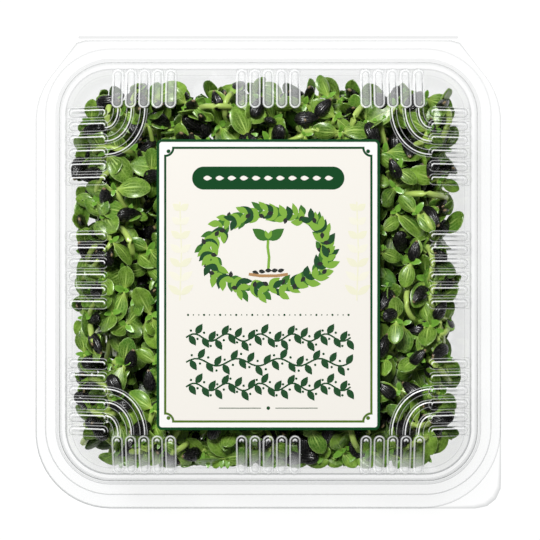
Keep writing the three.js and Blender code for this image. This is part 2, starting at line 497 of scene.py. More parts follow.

# %% [markdown]
# A grid of rows and stations becomes sheet of a real thickness. A Solidify modifier
# could do it; doing it here also marks the cut edge, which the finish draws darker as
# painted shade.

# %% Thickness
def shell(name, grid, thickness, finish):
    """A closed sheet from a grid of rows and stations, thickened downwards."""
    rows, columns = grid.shape[:2]
    around = np.roll(grid, -1, 1) - np.roll(grid, 1, 1)
    normal = np.cross(around, np.gradient(grid, axis=0))
    normal /= np.maximum(np.linalg.norm(normal, axis=2, keepdims=True), 1e-9)
    normal[0] = (0, 0, 1)
    centre = grid[-1].mean(axis=0)
    vertices = np.concatenate([grid.reshape(-1, 3), (grid - normal * thickness).reshape(-1, 3),
                               [centre, centre - (0, 0, thickness)]])
    size, last = rows * columns, (rows - 1) * columns
    ring = np.arange(columns)
    following = (ring + 1) % columns
    top = quads(rows, columns)
    rim = np.stack([ring, ring + size, following + size, following], axis=-1)
    faces = top.tolist() + (top[:, ::-1] + size).tolist() + rim.tolist()
    faces += [[last + a, last + b, 2 * size] for a, b in zip(ring, following)]
    faces += [[last + b + size, last + a + size, 2 * size + 1] for a, b in zip(ring, following)]
    # Marks the cut edge for a grey line of painted shade.
    cut_edge_shade = np.zeros(len(vertices))
    cut_edge_shade[ring] = cut_edge_shade[ring + size] = 1
    return mesh_piece(name, vertices, faces, finish, rim=cut_edge_shade)


print("sheet", SHEET, "mm thick")

# %% [markdown]
# The finish paints light and shade on the clear sheet as fine lines along the creases
# of the mould. They could be painted on an image, but the creases follow the same rules
# as the shape, so shader maths can find the nearest rib or quarter ring of any point and
# how far off it is.

# %% Where the creases lie
def ring_value(x, y):
    """The ring through a point, as ring_of has it, in shader maths."""
    a, b = abs(x), abs(y)
    past_x, past_y = (a - CORNER).most(0.0), (b - CORNER).most(0.0)
    return a.most(b).least(CORNER) + diagonal(past_x, past_y)


def nearest_rib(x, y):
    """Distance from the nearest rib, how far across it, how far past its top end, and
    1 where that rib is on a side wall."""
    a, b = abs(x), abs(y)
    side = a.over(b)

    def wall(of_sides, of_ends):
        """A size that differs between the side walls and the end walls."""
        return side * (of_sides - of_ends) + of_ends

    across, along = x + (y - x) * side, a.most(b)
    sides, ends = RIB_ROWS["sides"], RIB_ROWS["ends"]
    group = (across / 61.0).rounded().least(1.0).most(-1.0)
    offset = across - group * wall(sides["groups"][2], ends["groups"][2])
    offset = offset - side * (1.0 - abs(group)) * sides["groups"][1]
    half = wall((sides["count"] - 1) / 2, (ends["count"] - 1) / 2)
    pitch = wall(sides["pitch"], ends["pitch"])
    number = (offset / pitch + half).rounded().least(half * 2.0).most(0.0)
    beside = offset - (number - half) * pitch
    low = wall(sides["top"], ends["top"]) - along
    past = low.most(along - wall(sides["foot"], ends["foot"])).most(0.0)
    return diagonal(beside, past), beside, low, side


def nearest_arc(x, y):
    """Signed distance from the nearest quarter ring, measured away from its corner."""
    X, Y = (ARC_CORNER - abs(x)).most(0.001), (ARC_CORNER - abs(y)).most(0.001)
    reach = diagonal(X, Y)
    guess = (reach - 5.2 - (Y / reach) ** 2.0 * 3.0) / ARC_PITCH
    grown = guess.rounded().least(ARC_COUNT - 1.0).most(0.0) * ARC_PITCH
    a, b = grown + ARC_SIZE[0], grown + ARC_SIZE[1]
    level = diagonal(X / a, Y / b)
    return (level - 1.0) * level / diagonal(X / (a * a), Y / (b * b))


print("creases follow", len(RIBS["sides"]) * 2 + len(RIBS["ends"]) * 2, "ribs")

# %% [markdown]
# Clear PET sheet lets light straight through where it is flat. It shows by its
# gloss, by grey where it is seen steeply, and by light and shade painted along the
# creases. Painted shade makes fine grey lines at each step of the flange, round each
# rib and quarter ring and along each side rib, in place of refraction, stronger at the
# front. Pale outlines and a pale fill at the rib feet are a painted reflection of the
# white table. Painted highlights make white lines along the ribs' flanks and the quarter
# rings, and a glint at the inner ends of the front ribs. Real refraction would show such
# lines, but slowly and with noise. Transparent shaders mixed by those masks give the
# same look, and keep it from every side.

# %% Clear sheet finish
def lid_crease_light(x, y, ring):
    """Where the lid has creases, with grey lines of painted shade and white lines of painted
    highlight there.
    """
    rib, beside, low, side = nearest_rib(x, y)
    end = 1.0 - side
    # Painted highlight: on a side rib the white line is strongest on the flank towards the lamp.
    lit = side * (beside.step(-0.7, 0.7) - 0.65) + 0.65
    # Painted glint at the inner ends of the front ribs.
    tip = rib.line(0.75, 0.7) * low.step(-0.7, 0.4) * y.step(-20.0, -40.0) * end
    inside = (79.5 - abs(x).most(abs(y))).over(0.0)
    bow = nearest_arc(x, y)
    # Pale outlines and a pale fill at the rib feet: a painted reflection of the white table.
    foot = rib.step(2.5, 1.9) * end * (y.step(20.0, 60.0) * 0.4 + y.step(-86.0, -98.0))
    pale = rib.line(2.6, 0.34) * 0.62 + abs(bow).line(1.7, 0.3) * inside * 0.6 + foot
    # Painted highlights: white lines along the rib flanks and the quarter rings.
    painted_highlight = rib.line(2.25 - side * 1.2, 0.45) * lit + tip + bow.line(0.55, 0.42) * inside
    # Painted shade: grey lines inside each outline and along the side ribs, in place of refraction.
    painted_shade = rib.line(side * 0.5 + 1.6, 0.34) + abs(bow).line(1.2, 0.3) * inside
    painted_shade = painted_shade + rib.line(0.25, 0.4) * side * 0.6
    # The painted shade is weaker at the rib feet, beyond about 93 mm.
    filled = abs(x).most(abs(y)).step(93.5, 90.5) * 0.6 + 0.25
    creased = ring.over(78.5).most(abs(x).least(abs(y)).over(55.0))
    return creased, painted_shade * filled, pale.least(1.0) * 0.36 + painted_highlight.least(1.0) * 0.75


def base_crease_shade(x, y, ring):
    """The base's wall is fluted below the lid's ribs; its flutes get grey lines of painted shade,
    and no painted highlights.
    """
    _, beside, _, _ = nearest_rib(x, y)
    rim = abs(x).most(abs(y)).step(94.5, 96.5) * ring.step(98.9, 98.1)
    return ring.over(94.0), abs(beside).line(2.6, 0.35) * rim * 0.2, None


def clear_sheet(name, shade_rings, edge_shade, gloss, crease_paint):
    f = Finish(name)
    x, y, _ = f.place()
    ring = ring_value(x, y)
    creased, painted_shade, painted_highlight = crease_paint(x, y, ring)
    # Painted shade: the grey ring lines are stronger towards the front.
    front = y.step(40.0, -110.0) * 0.8 + 0.55
    # Grey lines of painted shade at the cut edge and at each step of the flange.
    ring_shade = f.attribute("rim") * 0.19
    for at, width, strength in shade_rings:
        ring_shade = ring_shade + ring.line(at, width) * strength
    facing = Value(f, f.node("LayerWeight", Blend=0.5).outputs["Facing"])
    clear = f.node("BsdfTransparent", Color=(0.99, 0.991, 0.991))
    # The dark tint of the painted shade lines, and of the grey where the sheet is seen steeply.
    dark = f.node("BsdfTransparent", Color=(0.32, 0.335, 0.34))
    flat = f.blend((facing ** 1.6) * edge_shade, clear, dark)
    lined = f.blend((ring_shade * front + painted_shade).least(0.9), flat, dark)
    if painted_highlight is not None:
        # The paint of the painted highlights and pale lines: white, with a faint glow.
        highlight_paint = f.node("BsdfPrincipled", Base_Color=(0.8, 0.81, 0.81), Roughness=0.25,
                       Emission_Color=(1.0, 1.0, 1.0), Emission_Strength=0.12)
        lined = f.blend(painted_highlight.least(0.9), lined, highlight_paint)
    shader = f.blend(creased, flat, lined)
    waves = f.bump(0.12, 0.0005, f.noise(140.0, 0.0))
    mirror = f.node("BsdfGlossy", Color=(1.0, 1.0, 1.0), Roughness=0.05, Normal=waves)
    share = ((facing ** 6.0) * 0.8 + 0.0028) * facing.step(0.25, 0.45) * gloss
    return f.surface(f.blend(share.least(1.0), shader, mirror))


# Rings of painted shade on the flange: ring, width and strength of each grey line.
LID_SHADE_RINGS = [(109.1, 0.5, 0.14), (104.0, 0.45, 0.2), (102.3, 0.4, 0.34), (101.2, 0.4, 0.1),
             (99.2, 0.5, 0.24), (96.1, 0.4, 0.12)]
BASE_SHADE_RINGS = [(109.1, 0.5, 0.08), (103.4, 0.4, 0.12), (101.8, 0.4, 0.16), (99.0, 0.5, 0.2)]
LID_CLEAR = clear_sheet("clear_lid_sheet", LID_SHADE_RINGS, 0.28, 1.0, lid_crease_light)
BASE_CLEAR = clear_sheet("clear_base_sheet", BASE_SHADE_RINGS, 0.1, 0.45, base_crease_shade)
print("clear finishes", LID_CLEAR.name, BASE_CLEAR.name)

# %% [markdown]
# The lid is a low dome: a flange with a seal bead, a flat ledge, a wall that
# slopes in, and a flat top. Ribs stiffen the wall in three groups a side, and
# quarter rings join them across the corners of the top. The rings of stations only
# need their height, which the rule above gives.

# %% The lid
LID_RINGS = [
    BAND_HALF, 109.1, BAND_START, 106.0, 104.3, 103.7, 103.3, 102.9, 102.55, 102.2, 101.8, 101.4,
    100.6, 99.0, 97.6, 96.6, *np.arange(96.1, 80.0, -0.82),
    79.6, 79.2, 78.9, 78.6, 78.3, 78.0, 77.5, *np.arange(76.8, 55.0, -0.9), 50.0, 40.0,
]


def lid_grid():
    rows = band_rows(tab_radius=12.0) + [ring_points(ring) for ring in LID_RINGS]
    flat = np.concatenate(rows)
    height = lid_height(flat[:, 0], flat[:, 1])
    height[: 2 * len(STATIONS)] = LEDGE_Z - BAND_DROP
    return np.concatenate([flat, height[:, None]], axis=1).reshape(len(rows), -1, 3)


lid = shell("clear_lid", lid_grid(), SHEET, LID_CLEAR)
print("lid", len(lid.data.polygons), "faces")

# %% [markdown]
# The base is the same sheet drawn down deep. Its flange carries the bead that
# the lid's bead snaps over, its wall is fluted below the lid's ribs, and its
# floor is raised inside a ring of feet. Its wall is too steep for a rule of height,
# so a profile of rings and heights is swept round it instead.

# %% The tray base
FLUTE_DEPTH = 0.9
WALL_FOOT = (86.8, 1.8)
WALL_STEPS = 18
BASE_PROFILE = [
    (BAND_HALF, -BAND_DROP), (109.1, -0.2), (BAND_START, 0), (106.0, 0), (104.1, 0), (103.45, 0),
    (102.8, BEAD_RISE - 0.1), (102.3, BEAD_RISE - 0.1), (101.6, 0), (100.8, 0), (99.9, 0),
    (99.4, -0.1), (99.0, -0.4), (98.75, -0.9), (98.5, -1.6),
]
FLOOR_PROFILE = [(86.6, 1.4), (86.0, 0.8), (85.2, 0.5), (83.5, 0.5), (80.5, 0.5), (79.6, 0.9),
                 (78.9, 1.7), (78.0, 2.0), (60.0, 2.0)]


def base_grid():
    brow = [(ring, FLANGE_Z + rise) for ring, rise in BASE_PROFILE]
    wall = np.linspace(brow[-1], WALL_FOOT, WALL_STEPS)[1:].tolist()
    band = band_rows(tab_radius=CORNER / 2)
    rows = [np.insert(row, 2, FLANGE_Z - BAND_DROP, axis=1) for row in band]
    flutes = rib_height(*ring_points(RIM_HALF).T, grow=8.0) / RIB_HEIGHT * FLUTE_DEPTH
    for ring, z in brow + wall + FLOOR_PROFILE:
        share = np.clip((z - 6) / 12, 0, 1) * np.clip((FLANGE_Z - z) / 1.2, 0, 1)
        points = ring_points(ring) + headings() * (flutes * share)[:, None]
        rows.append(np.insert(points, 2, z, axis=1))
    return np.array(rows)


base = shell("clear_base", base_grid(), SHEET, BASE_CLEAR)
print("base", len(base.data.polygons), "faces")
carry(lid, "lid", "clear_plastic", "lid")
carry(base, "tray", "clear_plastic", "tray_base")

# %% [markdown]
# The two halves are one sheet, folded along a thin bead at the back. The fold could be
# a strip of the sheet itself; a round bar with softened ends shows the same bead and
# keeps both halves closed shells.

# %% Hinge bead
HINGE_RADIUS = 0.6


def bar(start, end, radius, sides=12):
    """A closed round bar with softened ends, from start to end along X."""
    x = np.array([start, start + 0.15, start + 0.6, end - 0.6, end - 0.15, end])
    r = radius * np.array([0.5, 0.8, 1, 1, 0.8, 0.5])
    angle = np.linspace(0, 2 * math.pi, sides, endpoint=False)
    points = [[px, pr * math.cos(a), pr * math.sin(a)] for px, pr in zip(x, r) for a in angle]
    last = (len(x) - 1) * sides
    caps = [list(range(sides)), list(range(last, last + sides))[::-1]]
    return np.array(points), quads(len(x), sides)[:, ::-1].tolist() + caps


vertices, faces = bar(-HINGE_HALF, HINGE_HALF, HINGE_RADIUS)
# A rim value of 1.2 paints the whole bead grey, as painted shade.
hinge = mesh_piece("hinge_bead", vertices + (0, HINGE_Y, FLANGE_Z + 0.15), faces, BASE_CLEAR,
                   rim=np.full(len(vertices), 1.2))
carry(hinge, "tray", "clear_plastic", "living_hinge")
print("hinge bead", 2 * HINGE_HALF, "mm long")

# %% [markdown]
# The label is coated paper with a printed green border, a thin frame line whose
# corners are notched round a dot, and a solid band. Those are exact shapes, so the
# finish draws them by distance, in millimetres, with no edge to facet.

# %% Label paper
LABEL_HALF = (54.25, 70.65)
LABEL_Y = -6.3
LABEL_TOP = LID_TOP + 0.25
DARK_INK = (0.0015, 0.047, 0.01)
OLIVE_INK = (0.065, 0.13, 0.012)
CREAM = (0.715, 0.69, 0.645)
WHITE = (0.755, 0.752, 0.735)
LABEL_RADIUS = 2.6
FRAME_HALF = (50.1, 66.5)
NOTCH_RADIUS = 3.9
CORNER_DOT = (1.6, 1.7)
BAND = {"y": 45.5, "half": 37.0, "radius": 5.6}


def label_paper():
    f = Finish("label_paper")
    x, y, z = f.place()
    printed = z.step(LABEL_TOP - 0.14, LABEL_TOP - 0.05)
    u, v = abs(x), abs(y - LABEL_Y)
    soft = 0.12

    def inside(distance):
        return distance.step(soft, -soft)

    edge = diagonal((u - (LABEL_HALF[0] - LABEL_RADIUS)).most(0.0),
                    (v - (LABEL_HALF[1] - LABEL_RADIUS)).most(0.0)) - 1.3
    frame_x, frame_y = u - FRAME_HALF[0], v - FRAME_HALF[1]
    outline = frame_x.most(frame_y).most(NOTCH_RADIUS - diagonal(frame_x, frame_y))
    line = inside(abs(outline) - 0.55)
    dot = inside(diagonal(frame_x + CORNER_DOT[0], frame_y + CORNER_DOT[1]) - 0.95)
    past_band = (u - (BAND["half"] - BAND["radius"])).most(0.0)
    band = inside(diagonal(past_band, y - BAND["y"]) - BAND["radius"])
    fibre = f.noise(900.0, 3.0)
    paper = f.mix(inside(outline), WHITE, f.mix(fibre * 0.3, CREAM, (0.72, 0.7, 0.63)))
    olive = f.mix(y.step(-15.0, -60.0), DARK_INK, OLIVE_INK)
    colour = f.tinted(paper, (line.most(dot) * printed, olive), (band * printed, DARK_INK),
                      (edge.step(-soft, soft) * printed, DARK_INK))
    return f.surface(f.node("BsdfPrincipled", Base_Color=colour, Roughness=0.6,
                            Normal=f.bump(0.08, 0.0002, fibre), Specular_IOR_Level=0.08))


def prism(outline, low, high):
    """A closed flat plate from an outline."""
    count = len(outline)
    points = [[x, y, z] for z in (low, high) for x, y in outline]
    caps = [list(range(count))[::-1], list(range(count, 2 * count))]
    return np.array(points), caps + quads(2, count).tolist()


in_x, in_y = LABEL_HALF[0] - LABEL_RADIUS, LABEL_HALF[1] - LABEL_RADIUS
outline = np.concatenate([
    arc(x, y + LABEL_Y, LABEL_RADIUS, QUARTER * k, QUARTER * (k + 1), 8)
    for k, (x, y) in enumerate([(in_x, in_y), (-in_x, in_y), (-in_x, -in_y), (in_x, -in_y)])])
vertices, faces = prism(outline, LID_TOP + 0.02, LABEL_TOP)
label = mesh_piece("printed_label", vertices, faces, label_paper(), smooth=False)
carry(label, "lid", "label_paper", "label")
print("label", 2 * LABEL_HALF[0], "by", 2 * LABEL_HALF[1], "mm")

# %% [markdown]
# The printed ornaments are plain leaf shapes: a row of leaves on the band at the head,
# an oval garland with a seedling in it, pale sprays beside it, a dotted rule and three
# running vines. A finish could draw them by distance as it does the frame, but so many
# would be slow. Each is a flat shape, as thin as thick ink.

# %% Flat ink
INKS = {
    "dark": DARK_INK, "leaf": (0.03, 0.13, 0.012), "bright": (0.17, 0.34, 0.035),
    "seed": (0.012, 0.014, 0.014), "tan": (0.36, 0.2, 0.085), "cream": CREAM,
    "pale": (0.7, 0.69, 0.53), "paler": (0.73, 0.712, 0.6),
}
INK_LOW, INK_HIGH = LABEL_TOP - 0.05, LABEL_TOP + 0.03


class Print:
    """Collects flat inked shapes."""

    def __init__(self):
        self.vertices, self.faces, self.ink, self.count = [], [], [], 0

    def shape(self, outline, ink, lift=0.0):
        lift += 0.0012 * (len(self.vertices) % 37)
        points, faces = prism(outline, INK_LOW, INK_HIGH + lift)
        self.vertices.append(points)
        self.faces += [[v + self.count for v in face] for face in faces]
        self.ink += [(*INKS[ink], 1.0)] * len(points)
        self.count += len(points)

    def leaf(self, x, y, length, width, angle, ink, lift=0.0):
        """A pointed oval that starts at x, y and runs off at an angle."""
        t = np.linspace(0, 1, 7)
        half = width / 2 * np.sin(math.pi * t[1:-1] ** 0.85)
        along = t[1:-1] * length
        outline = np.concatenate([[[0, 0]], np.column_stack([along, -half]), [[length, 0]],
                                  np.column_stack([along, half])[::-1]])
        c, s = math.cos(angle), math.sin(angle)
        self.shape(outline @ np.array([[c, s], [-s, c]]) + (x, y), ink, lift)

    def dot(self, x, y, radius, ink, lift=0.0):
        self.shape(arc(x, y, radius, 0, 2 * math.pi, 11)[:-1], ink, lift)

    def line(self, path, width, ink, lift=0.0):
        """A ribbon along a path of points."""
        path = np.asarray(path, float)
        run = np.gradient(path, axis=0)
        run /= np.linalg.norm(run, axis=1, keepdims=True)
        side = np.column_stack([-run[:, 1], run[:, 0]]) * width / 2
        for i in range(len(path) - 1):
            self.shape([path[i] - side[i], path[i + 1] - side[i + 1],
                        path[i + 1] + side[i + 1], path[i] + side[i]], ink, lift)


print("inks", len(INKS))

# %% Ornaments
def vine(ink, half, y, height, waves):
    x = np.linspace(-half, half, waves * 10 + 1)
    wave = height * 0.2 * np.sin((x + half) / (2 * half) * 2 * math.pi * waves)
    ink.line(np.column_stack([x, y + wave]), 0.8, "dark")
    for k in range(waves * 5):
        at = (k + 0.5) / (waves * 5)
        px = -half + 2 * half * at
        py = y + height * 0.2 * math.sin(at * 2 * math.pi * waves)
        up = 1 if k % 2 else -1
        ink.leaf(px, py, height * 0.66, height * 0.36, up * 1.0, "dark")
        ink.dot(px + 0.8, py - up * height * 0.26, 0.6, "dark")


def garland(ink, y, half_x, half_y, dice):
    for k in range(76):
        angle = 2 * math.pi * k / 76
        swell = dice.uniform(0.88, 1.08)
        px, py = half_x * swell * math.cos(angle), y + half_y * swell * math.sin(angle)
        shade = ("leaf", "bright", "dark", "bright")[k % 4]
        lift = 0.004 * (k % 4)
        for turn in (0.6, -0.75):
            ink.leaf(px, py, dice.uniform(5.5, 7.5), dice.uniform(2.8, 3.6),
                     angle + QUARTER + turn, shade, lift)
        if k % 3 == 0:
            ink.leaf(px, py, 3.2, 2.1, dice.uniform(0, 6.3), "seed", 0.02)


def seedling(ink, x, y):
    ink.line([(x, y - 11), (x + 0.4, y - 5), (x - 0.3, y), (x, y + 4)], 1.3, "bright")
    for side in (-1, 1):
        ink.leaf(x, y + 3.4, 9.5, 5.2, QUARTER - side * 0.95, "leaf")
        ink.leaf(x, y + 3.9, 4.6, 2.0, QUARTER - side * 0.35, "bright", 0.005)
    for k in range(-2, 3):
        ink.leaf(x + k * 3.1 - 1.6, y - 11.4 - abs(k) * 0.25, 3.4, 2.0, 0.15 * k, "seed")
    soil = ((-9.5, -13.2), (-4, -14.0), (4, -14.0), (9.5, -13.2))
    ink.line([(x + dx, y + dy) for dx, dy in soil], 1.4, "tan")


def spray(ink, x, low, high, count):
    ink.line([(x, low), (x + 0.8, (low + high) / 2), (x, high)], 0.7, "pale")
    for k in range(count):
        at = low + (high - low) * (k + 0.4) / count
        for side in (-1, 1):
            ink.leaf(x + 0.4, at, 8.0 - 3.5 * k / count, 3.4, QUARTER - side * 0.9,
                     "paler" if k % 2 else "pale")


print("ornaments", [motif.__name__ for motif in (vine, garland, seedling, spray)])

# %% Printing the label
ink = Print()
for k in range(11):
    ink.leaf((k - 5) * 5.9 - 2.1, BAND["y"], 4.2, 2.3, 0.0, "cream")
garland(ink, 10.0, 29.5, 19.0, np.random.default_rng(3))
seedling(ink, 0.0, 12.0)
for side in (-1, 1):
    spray(ink, side * 43.0, -14.0, 34.0, 7)
    ink.line([(side * 3.5, -66.3), (side * 24.0, -66.3)], 0.35, "dark")
for k in range(31):
    ink.dot((k - 15) * 2.6, -21.0, 0.55 if k % 3 == 0 else 0.32, "dark")
ink.dot(0.0, -66.3, 0.9, "dark")
for y, waves in ((-32.0, 5), (-44.0, 4), (-56.0, 5)):
    vine(ink, 40.0, y, 9.0, waves)


def printed_ink():
    f = Finish("printed_ink")
    colour = f.node("Attribute", {"attribute_name": "ink"}).outputs["Color"]
    grain = f.noise(1800.0, 2.0)
    colour = f.mix(grain * 0.04, colour, (0.5, 0.5, 0.4))
    return f.surface(f.node("BsdfPrincipled", Base_Color=colour, Roughness=0.6,
                            Specular_IOR_Level=0.08))


ornaments = mesh_piece("label_ornaments", np.concatenate(ink.vertices), ink.faces, printed_ink(),
                       smooth=False, ink=np.array(ink.ink))
carry(ornaments, "lid", "label_paper")
print("ornaments", len(ink.faces), "faces")

# %% [markdown]
# A cut sunflower shoot is a pale juicy stem, two thick oval seed leaves and, in
# the fork between them, the first pair of true leaves. All of it grew as one
# piece, so its parts are collected into one mesh. Each vertex remembers where it
# lies, for the veins. The stem is a tube swept along a curve.

# %% Stems
class Growth:
    """Collects the vertices, faces and values of one plant piece."""

    def __init__(self):
        self.vertices, self.faces = [], []
        self.values = {"leafness": [], "along": [], "across": [], "youth": []}
        self.count = 0

    def add(self, vertices, faces, leafness, along, across, youth=0.0):
        size = len(vertices)
        self.vertices.append(np.asarray(vertices, float))
        self.faces += [[v + self.count for v in face] for face in faces]
        for key, number in zip(self.values, (leafness, along, across, youth)):
            self.values[key].append(np.broadcast_to(np.asarray(number, float), size))
        self.count += size

    def leaf(self, shape, swing, at, leafness, youth=0.0):
        """Adds a blade, turned by heading, rise and roll, and moved to its place."""
        points, faces, along, across = shape
        self.add(turned(points, *swing) + at, faces, leafness(along), along, across, youth)

    def joined(self):
        values = {key: np.concatenate(parts) for key, parts in self.values.items()}
        return np.concatenate(self.vertices), self.faces, values


def tube(path, radii, sides):
    """A closed round stem along a path of points."""
    tangent = np.gradient(path, axis=0)
    tangent /= np.linalg.norm(tangent, axis=1, keepdims=True)
    side = np.cross(tangent, (0.13, 0.99, 0.05))
    side /= np.linalg.norm(side, axis=1, keepdims=True)
    other = np.cross(tangent, side)
    angles = np.linspace(0, 2 * math.pi, sides, endpoint=False)[None, :, None]
    circle = np.cos(angles) * side[:, None] + np.sin(angles) * other[:, None]
    points = path[:, None] + circle * radii[:, None, None]
    last = (len(path) - 1) * sides
    caps = [list(range(sides))[::-1], list(range(last, last + sides))]
    return points.reshape(-1, 3), quads(len(path), sides).tolist() + caps


straight = np.linspace((0, 0, 0), (0, 0, 30), 7)
print("a stem of 6 steps and 6 sides has", len(tube(straight, np.ones(7), 6)[1]), "faces")

# %% [markdown]
# A blade could be a flat card, as in games, but seed leaves are thick and juicy. It is
# a grid folded round: an upper and a lower side that meet at the edge.

# %% Blades
def turned(points, heading, rise, roll=0.0):
    """Turns a blade that runs along +Y: rolls it, lifts it, then swings it round."""
    matrix = Euler((rise, roll, 0)).to_matrix()
    swing = Euler((0, 0, heading)).to_matrix()
    return points @ np.array(swing @ matrix).T


def blade(length, width, thickness, steps, across_steps, curl, cup, petiole=0.1):
    """A closed oval leaf along +Y from the origin, with its places on the blade."""
    t = (1 - np.cos(np.linspace(0, math.pi, steps + 1))) / 2
    a = np.sin(np.linspace(-math.pi / 2, math.pi / 2, across_steps + 1))
    share = np.clip((t - petiole) / (1 - petiole), 0, 1)
    half = width / 2 * np.sin(math.pi * np.clip(share, 1e-6, 1 - 1e-6) ** 1.04) ** 0.54
    half = np.maximum(half, 0.8 * np.clip(1 - 6 * (t - petiole), 0, 1))
    half[-1] = 0.02
    T, A = np.meshgrid(t, a, indexing="ij")
    X = A * half[:, None]
    Y = T * length
    crown = thickness / 2 * np.sqrt(np.maximum(1 - A**2, 0))
    crown *= 0.35 + 0.65 * np.sin(math.pi * np.clip(T, 0.08, 0.95))
    base = curl * length * (T - 0.15) ** 2 + cup * width * (A * half[:, None] / (width / 2)) ** 2
    groove = 0.14 * thickness * np.exp(-(A / 0.16) ** 2)
    top = np.stack([X, Y, base + crown - groove], axis=-1).reshape(-1, 3)
    low = np.stack([X, Y, base - crown], axis=-1).reshape(-1, 3)
    size = len(top)
    upper = quads(steps + 1, across_steps + 1, closed=False)
    cells = np.arange(size).reshape(T.shape)
    border = np.array([*cells[0], *cells[1:, -1], *cells[-1, -2::-1], *cells[-2:0:-1, 0]])
    after = np.roll(border, -1)
    edge = np.stack([after, border, border + size, after + size], axis=-1)
    faces = np.concatenate([upper, upper[:, ::-1] + size, edge]).tolist()
    return np.concatenate([top, low]), faces, np.tile(T.ravel(), 2), np.tile(A.ravel(), 2)


print("a fine blade has", len(blade(15.0, 9.0, 1.8, 14, 8, 0.0, 0.0)[1]), "faces")

# %% [markdown]
# A shoot puts the parts together. No two are alike: each is bent, tilted and sized by
# its own dice, so that a row of them doesn't look stamped.

# %% A whole shoot
STEM_RADIUS = 1.45
LEAF_LENGTH = 15.0
LEAF_WIDTH = 9.2


def grow_shoot(foot, head, turn, rises, dice, fine):
    """One shoot: a bent stem from foot to head, its seed leaves and its true leaves."""
    growth = Growth()
    closed = min(rises) > 1.2
    steps, sides = (12, 10) if fine else (6, 6)
    t = np.linspace(0, 1, steps + 1)[:, None]
    bend = foot + (head - foot) * (0.3, 0.3, 0.6) + (dice.uniform(-2, 2), 0, 0)
    path = foot * (1 - t) ** 2 + bend * 2 * t * (1 - t) + head * t**2
    radii = STEM_RADIUS * (1.08 - 0.2 * t[:, 0]) * (1 + 0.25 * np.exp(-((t[:, 0] - 1) / 0.08) ** 2))
    points, faces = tube(path, radii, sides)
    growth.add(points, faces, 0.0, np.repeat(t[:, 0], sides), 0.0)
    mesh = (14, 8) if fine else (9, 6)
    for side, rise in enumerate(rises):
        size = dice.uniform(0.74, 1.12) if not closed else 0.88
        shape = blade(LEAF_LENGTH * size, LEAF_WIDTH * size * dice.uniform(0.92, 1.1), 1.8, *mesh,
                      curl=dice.uniform(-0.3, 0.14), cup=dice.uniform(-0.16, 0.16))
        swing = (turn + side * math.pi + dice.uniform(-0.15, 0.15), rise, dice.uniform(-0.5, 0.5))
        growth.leaf(shape, swing, head, lambda along: np.clip((along - 0.04) / 0.12, 0, 1))
    small = (6, 4) if fine else (4, 2)
    for side in range(2):
        length = dice.uniform(3.6, 7.0)
        shape = blade(length, length * 0.5, 0.6, *small, curl=-0.3, cup=0.2, petiole=0.02)
        heading = turn + QUARTER + side * math.pi + dice.uniform(-0.3, 0.3)
        growth.leaf(shape, (heading, dice.uniform(0.7, 1.2)), head + (0, 0, 0.3), np.ones_like, 1.0)
    return growth.joined()


sample = grow_shoot(np.zeros(3), np.array([0, 20.0, 40]), 0, (0.4, 0.5),
                    np.random.default_rng(1), fine=True)
print("a fine shoot has", len(sample[1]), "faces")

# %% [markdown]
# The seed hull is a flattened drop with a blunt end, ridged along its length. It could
# be a ball pushed into shape by hand. Rings whose width follows a rule of the length
# are as true, and can be made fine or coarse.

# %% Seed hull
HULL_LENGTH = 11.8
HULL_WIDTH = 7.6
HULL_DEPTH = 4.8


def hull_shape(sides, ring_shade):
    """A closed ridged hull along +Y, its blunt end at the origin."""
    t = (1 - np.cos(np.linspace(0, math.pi, ring_shade + 1)[1:-1])) / 2
    angle = np.linspace(0, 2 * math.pi, sides, endpoint=False)
    swell = np.sin(math.pi * t**0.8) ** 0.62 * (1 - 0.22 * t)
    ridge = 1 + 0.035 * np.cos(angle * 9)
    X = swell[:, None] * (ridge * np.cos(angle))[None] * HULL_WIDTH / 2
    Z = swell[:, None] * (ridge * np.sin(angle))[None] * HULL_DEPTH / 2
    Y = np.repeat(t[:, None] * HULL_LENGTH, sides, axis=1)
    body = np.stack([X, Y, Z], axis=-1).reshape(-1, 3)
    vertices = np.concatenate([body, [[0, 0, 0], [0, HULL_LENGTH, 0]]])
    faces = quads(len(t), sides)[:, ::-1].tolist()
    last = (len(t) - 1) * sides
    for j in range(sides):
        k = (j + 1) % sides
        faces += [[len(body), j, k], [len(body) + 1, last + k, last + j]]
    along = np.concatenate([np.repeat(t, sides), [0, 1]])
    across = np.concatenate([np.tile(angle / (2 * math.pi), len(t)), [0, 0]])
    return vertices, faces, {"along": along, "across": across}


print("a hull has", len(hull_shape(12, 8)[1]), "faces")

# %% [markdown]
# Two finishes cover the plants. The leaf finish reads the place on the blade: a
# pale midrib and two side veins, a lighter base. It also reads a shade value for
# each shoot, partly a random tone and partly painted shade: low shades paint the
# shoot near black and take away its veins, lighter base and pale margin.
# The hull finish is near black with fine grey streaks along the ridges and a tan,
# woody tip where it was joined to the flower.

